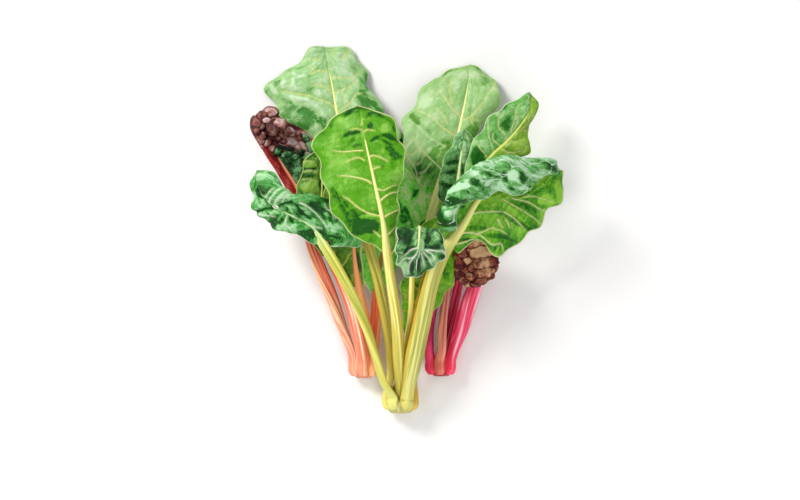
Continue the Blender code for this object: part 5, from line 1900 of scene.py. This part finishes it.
CORAL_INNER = {"veins": drawn_veins(
    (1, 2, (48, 292), (36, 303.5), (24, 315.5), (13, 330)), (1, 1.2, (13.5, 309.5), (16.5, 312),
    (20.5, 315.5)), (1, 1.2, (19.5, 301), (24, 303.5), (28.8, 307.2))),
 "folds": drawn_folds(
    (1.8, 1.5, 1.3, (2, 304), (13, 283), (24, 268), (26, 244), (28, 215)), (1.6, 1.4, 1.3, (26, 260),
    (37, 260), (44, 254), (38, 241), (36, 224)), (1.4, 1.3, 1.2, (1, 272), (10, 259), (17, 241), (22, 230)),
    (1.2, 1.2, 1, (2, 284), (10, 289), (16, 283)), (1.2, 1.2, 1, (5, 266), (8, 278), (17, 275)), (1.2, 1.2, 1,
    (17, 250), (22, 257), (24, 264)), (-1.8, 2.2, -1.5, (0, 294), (1, 280), (-1, 256), (2, 241)),
    (-1.8, 2.4, -1.4, (13, 256), (19, 264), (22, 268)), (-1.8, 2.2, -1.5, (2, 251), (10, 239), (16, 220)),
    (-1.8, 2.4, -1.3, (31, 265), (34, 280), (37, 292)), (-1.6, 2, -1.1, (32, 256), (34, 241), (32, 222))),
 "patches": many(Patch,
    (39.6, 303.6, 9.6, 3, -50, -2), (10.8, 321.6, 4.8, 7.2, 0, -0.8), (3.6, 315.6, 2.9, 19.2, 10, -1.6),
    (33.6, 306, 9.6, 2.4, -45, 0.3), (24, 291.6, 6, 7.2, 0, -0.9), (36, 289.2, 7.2, 8.4, 0, 0.4),
    (27.6, 224.4, 3.6, 8.4, 0, -2), (18, 264, 4.8, 7.2, 20, -0.9), (8.4, 279.6, 7.2, 10.8, 0, 0.6),
    (10.8, 260.4, 4.8, 9.6, -10, 0.3), (43.2, 243.6, 3.6, 12, 0, -1.8), (28.8, 249.6, 4.8, 12, 0, 0.3),
    (6, 237.6, 6, 10.8, 0, -0.8), (48, 255.6, 3.6, 7.2, 0, -1))}
CRIMSON_OUTER = {"veins": (),
 "lobes": many(Lobe,
    (93.6, 200.4, 15.6, 10.8, 0, 0, 0.3), (78, 200.4, 9.6, 8.4, 20, 0.2, -0.6),
    (73.2, 190.8, 9, 7.2, 0, 0.4, -0.1), (84, 193.2, 7.2, 6, 0, 0.6, -0.2),
    (98.4, 192, 16.8, 9.6, 6, 3.6, 0.7), (70.8, 178.8, 7.2, 7.2, 0, 0.6, -0.8),
    (80.4, 182.4, 6.6, 5.4, 0, 1.4, 0.4), (100.8, 180, 16.8, 9, 10, 4.6, 0.5), (78, 171.6, 6.6, 6, 0, 1.4, 0),
    (86.4, 174, 6.6, 6, 0, 2, -0.2), (70.8, 166.8, 6.6, 7.2, 0, 1, -0.6),
    (100.8, 169.2, 14.4, 7.2, 12, 5.2, 0.7), (84, 164.4, 7.2, 6, 0, 2, 0.3),
    (75.6, 159.6, 6, 5.4, 0, 1.4, -0.2), (96, 159.6, 9.6, 5.4, 12, 4, 0.2),
    (90, 154.8, 7.2, 4.3, 0, 2.2, -0.3), (81.6, 155.4, 6, 4.8, 0, 2, 0.5))}
CRIMSON_TALL = {"veins": drawn_veins(
    (-1, 2, (103, 306), (96, 315.5), (91, 324)), (-1, 1.6, (110.5, 313), (108, 324), (104.5, 336),
    (107, 354)), (-1, 2, (120, 320), (115, 323), (110.4, 327.6), (110.4, 334.8)), (-1, 2, (126, 328.8),
    (123.6, 334.8), (118, 341), (117.5, 351.5), (122.4, 358.8)), (-1, 1.8, (131, 335), (134.5, 344.5),
    (137, 351.5), (140.4, 356.4)), (-1, 1.4, (135.6, 338.4), (139, 348), (142.8, 355.2), (147.5, 351.5)),
    (-1, 1.2, (140.4, 344.4), (138, 356.5), (139, 363.5), (142.8, 370.8)), (1, 2, (120, 316.8), (127, 312),
    (136.8, 312), (147.5, 314.5)), (1, 1.4, (127, 325), (137, 324), (146.4, 326.4)), (1, 1.4, (136.8, 333.6),
    (146.5, 341), (154.8, 350.4)), (1, 1, (142.8, 337.2), (150, 337), (153.5, 332.5))),
 "patches": many(Patch,
    (92.4, 306, 9.6, 12, -20, -2.2), (127.2, 348, 8.4, 13.2, -10, -1), (100.8, 321.6, 6, 10.8, 0, 0.3),
    (120, 357.6, 9.6, 3.6, 40, 0.9), (96, 332.4, 4.8, 6, 20, -0.2), (122.4, 363.6, 6, 3.6, 40, -1.4),
    (111.6, 331.2, 7.2, 4.8, 30, -0.6), (134.4, 321.6, 9.6, 4.8, 0, 0.5),
    (134.4, 303.6, 16.8, 3.6, 10, -0.5))}
CRIMSON_INNER = {"veins": drawn_veins(
    (1, 2.4, (93.5, 332.5), (88.8, 320.4), (86.5, 303.5), (84, 289.5), (82.8, 273.6)), (1, 1.2, (84, 321.5),
    (79, 330), (76.8, 336))),
 "patches": many(Patch,
    (74.4, 284.4, 3, 12, 0, -1.2), (92.4, 306, 3.6, 16.8, 0, -1.5), (62.4, 300, 8.4, 2.4, 10, -1.3),
    (61.2, 288, 7.2, 2.4, 5, -1.4), (57.6, 272.4, 10.8, 2.4, -10, -1.2), (44.4, 260.4, 4.8, 6, 0, -1),
    (79.2, 315.6, 6, 6, 0, 0.8), (73.2, 303.6, 2.4, 14.4, 0, 0.3)),
 "puffs": many(Puff,
    (61.2, 306, 7.2, 7.2, 0, 3, 0), (58.8, 292.8, 9, 5.4, 0, 3, 0), (58.8, 278.4, 8.4, 7.8, 0, 3.4, 0.1),
    (49.2, 262.8, 6, 8.4, 0, 3, 0.1), (76.8, 319.2, 8.4, 7.2, 30, 2, 0.3))}

LOOKS = {
    "yellow_front": Look(**face_pair(LIME_DARK, LIME, 1.0), **YELLOW_FRONT, stalk=GOLD, seed=11, blister=0.7),
    "yellow_right": Look(**face_pair(FLAP, BROAD, 2.0, gap=rgb(206, 232, 204), contrast=1.4), **YELLOW_RIGHT,
        stalk=RIGHT_GOLD, seed=12, blister=1.3),
    "yellow_left": Look(**face_pair(TEAL, PALE_UNDER, 3.0, TEAL, rough=0.32, contrast=1.3), **YELLOW_LEFT,
        stalk=GREEN_GOLD, rib=0.35, seed=13, blister=1.6),
    "yellow_tall_left": Look(**face_pair(MINT, PALE_UNDER, 4.0), **YELLOW_TALL_LEFT, stalk=GOLD, rib=0.5,
        seed=14, blister=1.0),
    "yellow_tall_right": Look(**face_pair(PALE, PALE_UNDER, 5.0, base=THICKET, base_end=0.4),
        **YELLOW_TALL_RIGHT, stalk=TALL_GOLD, rib=0.55, seed=15, blister=0.8),
    "yellow_inner": Look(**face_pair(BRIGHT, BRIGHT, 6.0), **YELLOW_INNER, stalk=AMBER, seed=16, blister=1.2,
        frill=1.4),
    "yellow_curled": Look(**face_pair(BOTTLE, BOTTLE, 7.0, contrast=1.3), **YELLOW_CURLED, stalk=GOLD,
        seed=17, frill=1.6, blister=1.0),
    "coral_outer": Look(**face_pair(MAROON, MAROON, 8.0, contrast=1.5, base=RED_BASE, base_end=0.74, rim=0.3),
        plus=BladeFinish(MAROON, Face.UPPER, contrast=1.3, base=DARK_BASE, base_end=0.62, rim=0.3, seed=8.2),
        **CORAL_OUTER, stalk=SCARLET, seed=18, rib=0.8, ruffle=0.1, frill=0.0, crumple=0.5, blister=1.2,
        cell=10.0, puff=0.0),
    "coral_left": Look(**face_pair(RIBBED, RIBBED, 9.0), **CORAL_LEFT, stalk=CORAL_LEAF, seed=19,
        blister=1.2),
    "coral_middle": Look(**face_pair(WEDGE, WEDGE, 10.0), **CORAL_MIDDLE, stalk=ORANGE, seed=20),
    "coral_inner": Look(**face_pair(SHADE, SHADE, 11.0), **CORAL_INNER, stalk=CORAL_RED, seed=21,
        blister=1.4),
    "crimson_outer": Look(**face_pair(WALNUT, WALNUT, 12.0, contrast=1.5, rim=0.3), **CRIMSON_OUTER,
        stalk=CRIMSON_RED, seed=22, rib=0.35, ruffle=0.6, frill=0.3, crumple=0.5, blister=0.8, cell=9.0,
        puff=0.0),
    "crimson_tall": Look(**face_pair(SEA, SEA, 13.0), plus=BladeFinish(LEMON, Face.UNDER, seed=13.2),
        **CRIMSON_TALL, stalk=CRIMSON_LIME, seed=23),
    "crimson_inner": Look(**face_pair(SPRUCE, SPRUCE, 14.0, contrast=1.2), **CRIMSON_INNER, stalk=MAGENTA,
        seed=24, blister=1.8),
    "crimson_back": Look(**face_pair(SHADE, SHADE, 15.0), stalk=PEACH, seed=25),
}

CROWNS = {
    "yellow_crown": CrownFinish(rgb(214, 210, 136), rgb(168, 164, 84), rgb(206, 190, 140), rgb(168, 104, 56)),
    "coral_crown": CrownFinish(rgb(236, 160, 130), rgb(206, 96, 72), rgb(222, 186, 160), rgb(160, 92, 70)),
    "crimson_crown": CrownFinish(rgb(190, 44, 58), rgb(136, 20, 38), rgb(208, 160, 150), rgb(120, 50, 46)),
}


# ---- studio


MIDDLE_AHEAD = 0.1956  # from the layout's zero to the middle of the view, in metres


@dataclass
class Studio:
    """A plain pale floor, soft lights and a camera that looks straight down on the bunch."""

    middle: Array
    frame_width: float = 0.96
    camera_height: float = 8.0
    sensor: float = 36.0
    floor_size: float = 6.0
    floor_colour: Colour = (0.93, 0.93, 0.925)
    floor_shade: float = 0.97  # how dark its clouds are
    sky: float = 0.62

    def floor(self) -> None:
        """Lays the floor under the bunch."""
        half = self.floor_size / 2
        x, y = self.middle
        mesh = bpy.data.meshes.new("floor")
        mesh.from_pydata([(x - half, y - half, 0), (x + half, y - half, 0), (x + half, y + half, 0),
                          (x - half, y + half, 0)], [], [(0, 1, 2, 3)])
        graph = Graph("floor")
        wash = graph.noise(graph.place(), 9.0)
        darker = tuple(self.floor_shade * share for share in self.floor_colour)
        mesh.materials.append(graph.finish(graph.blend(wash, self.floor_colour, darker), 0.9))
        made = bpy.data.objects.new("floor", mesh)
        bpy.context.scene.collection.objects.link(made)

    def lamp(self, name: str, place: Point, size: float, power: float, warmth: Colour) -> None:
        """Hangs one soft lamp that points at the bunch.

        Args:
            name: The lamp's name.
            place: Where it hangs, in metres from the middle of the bunch.
            size: Width of its square panel.
            power: Its power in watts.
            warmth: Its colour.
        """
        data = bpy.data.lights.new(name, "AREA")
        data.size, data.energy, data.color = size, power, warmth
        made = bpy.data.objects.new(name, data)
        made.location = (self.middle[0] + place[0], self.middle[1] + place[1], place[2])
        made.rotation_euler = Vector(place).to_track_quat("Z", "Y").to_euler()
        bpy.context.scene.collection.objects.link(made)

    def lights(self) -> None:
        """Hangs the lamps and sets the pale surroundings."""
        self.lamp("key", (-1.3, 1.3, 1.5), 0.8, 43.0, (1.0, 0.98, 0.95))
        self.lamp("fill", (0.5, -1.5, 1.1), 1.0, 13.0, (1.0, 0.98, 0.96))
        bpy.context.scene.view_settings.view_transform = "Standard"
        world = bpy.data.worlds.new("surroundings")
        world.use_nodes = True
        world.node_tree.nodes["Background"].inputs["Color"].default_value = (1.0, 1.0, 1.0, 1.0)
        world.node_tree.nodes["Background"].inputs["Strength"].default_value = self.sky
        bpy.context.scene.world = world

    def camera(self) -> None:
        """Sets the camera high over the bunch with a long lens."""
        data = bpy.data.cameras.new("camera")
        data.sensor_width = self.sensor
        data.lens = self.sensor * self.camera_height / self.frame_width
        data.clip_end = 50.0
        made = bpy.data.objects.new("camera", data)
        made.location = (self.middle[0], self.middle[1], self.camera_height)
        bpy.context.scene.collection.objects.link(made)
        bpy.context.scene.camera = made


def main() -> None:
    """Builds the bunch piece by piece, then the studio round it."""
    logging.basicConfig(level=logging.INFO, format="%(name)s: %(message)s")
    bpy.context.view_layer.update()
    low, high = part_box(YELLOW.name)
    offset = np.array([(low.x + high.x) / 2 - YELLOW.face[0] * MM, high.y - YELLOW.face[1] * MM, 0.0])
    for head in HEADS:
        seats = tuple(leaf.seat[0] for leaf in LEAVES if leaf.head is head and leaf.seat[1] > head.radius / 2)
        Crown(head.name, offset, head, CROWNS[head.name], seats).build()
    for leaf in LEAVES:
        axis, look = Axis(leaf), LOOKS[leaf.name]
        Stalk(f"{leaf.name}_stalk", offset, leaf, axis, look).build()
        Blade(f"{leaf.name}_blade", offset, leaf, axis, look).build()
    studio = Studio(offset[:2] + (0.0, MIDDLE_AHEAD))
    studio.floor()
    studio.lights()
    studio.camera()


if __name__ == "__main__":
    main()
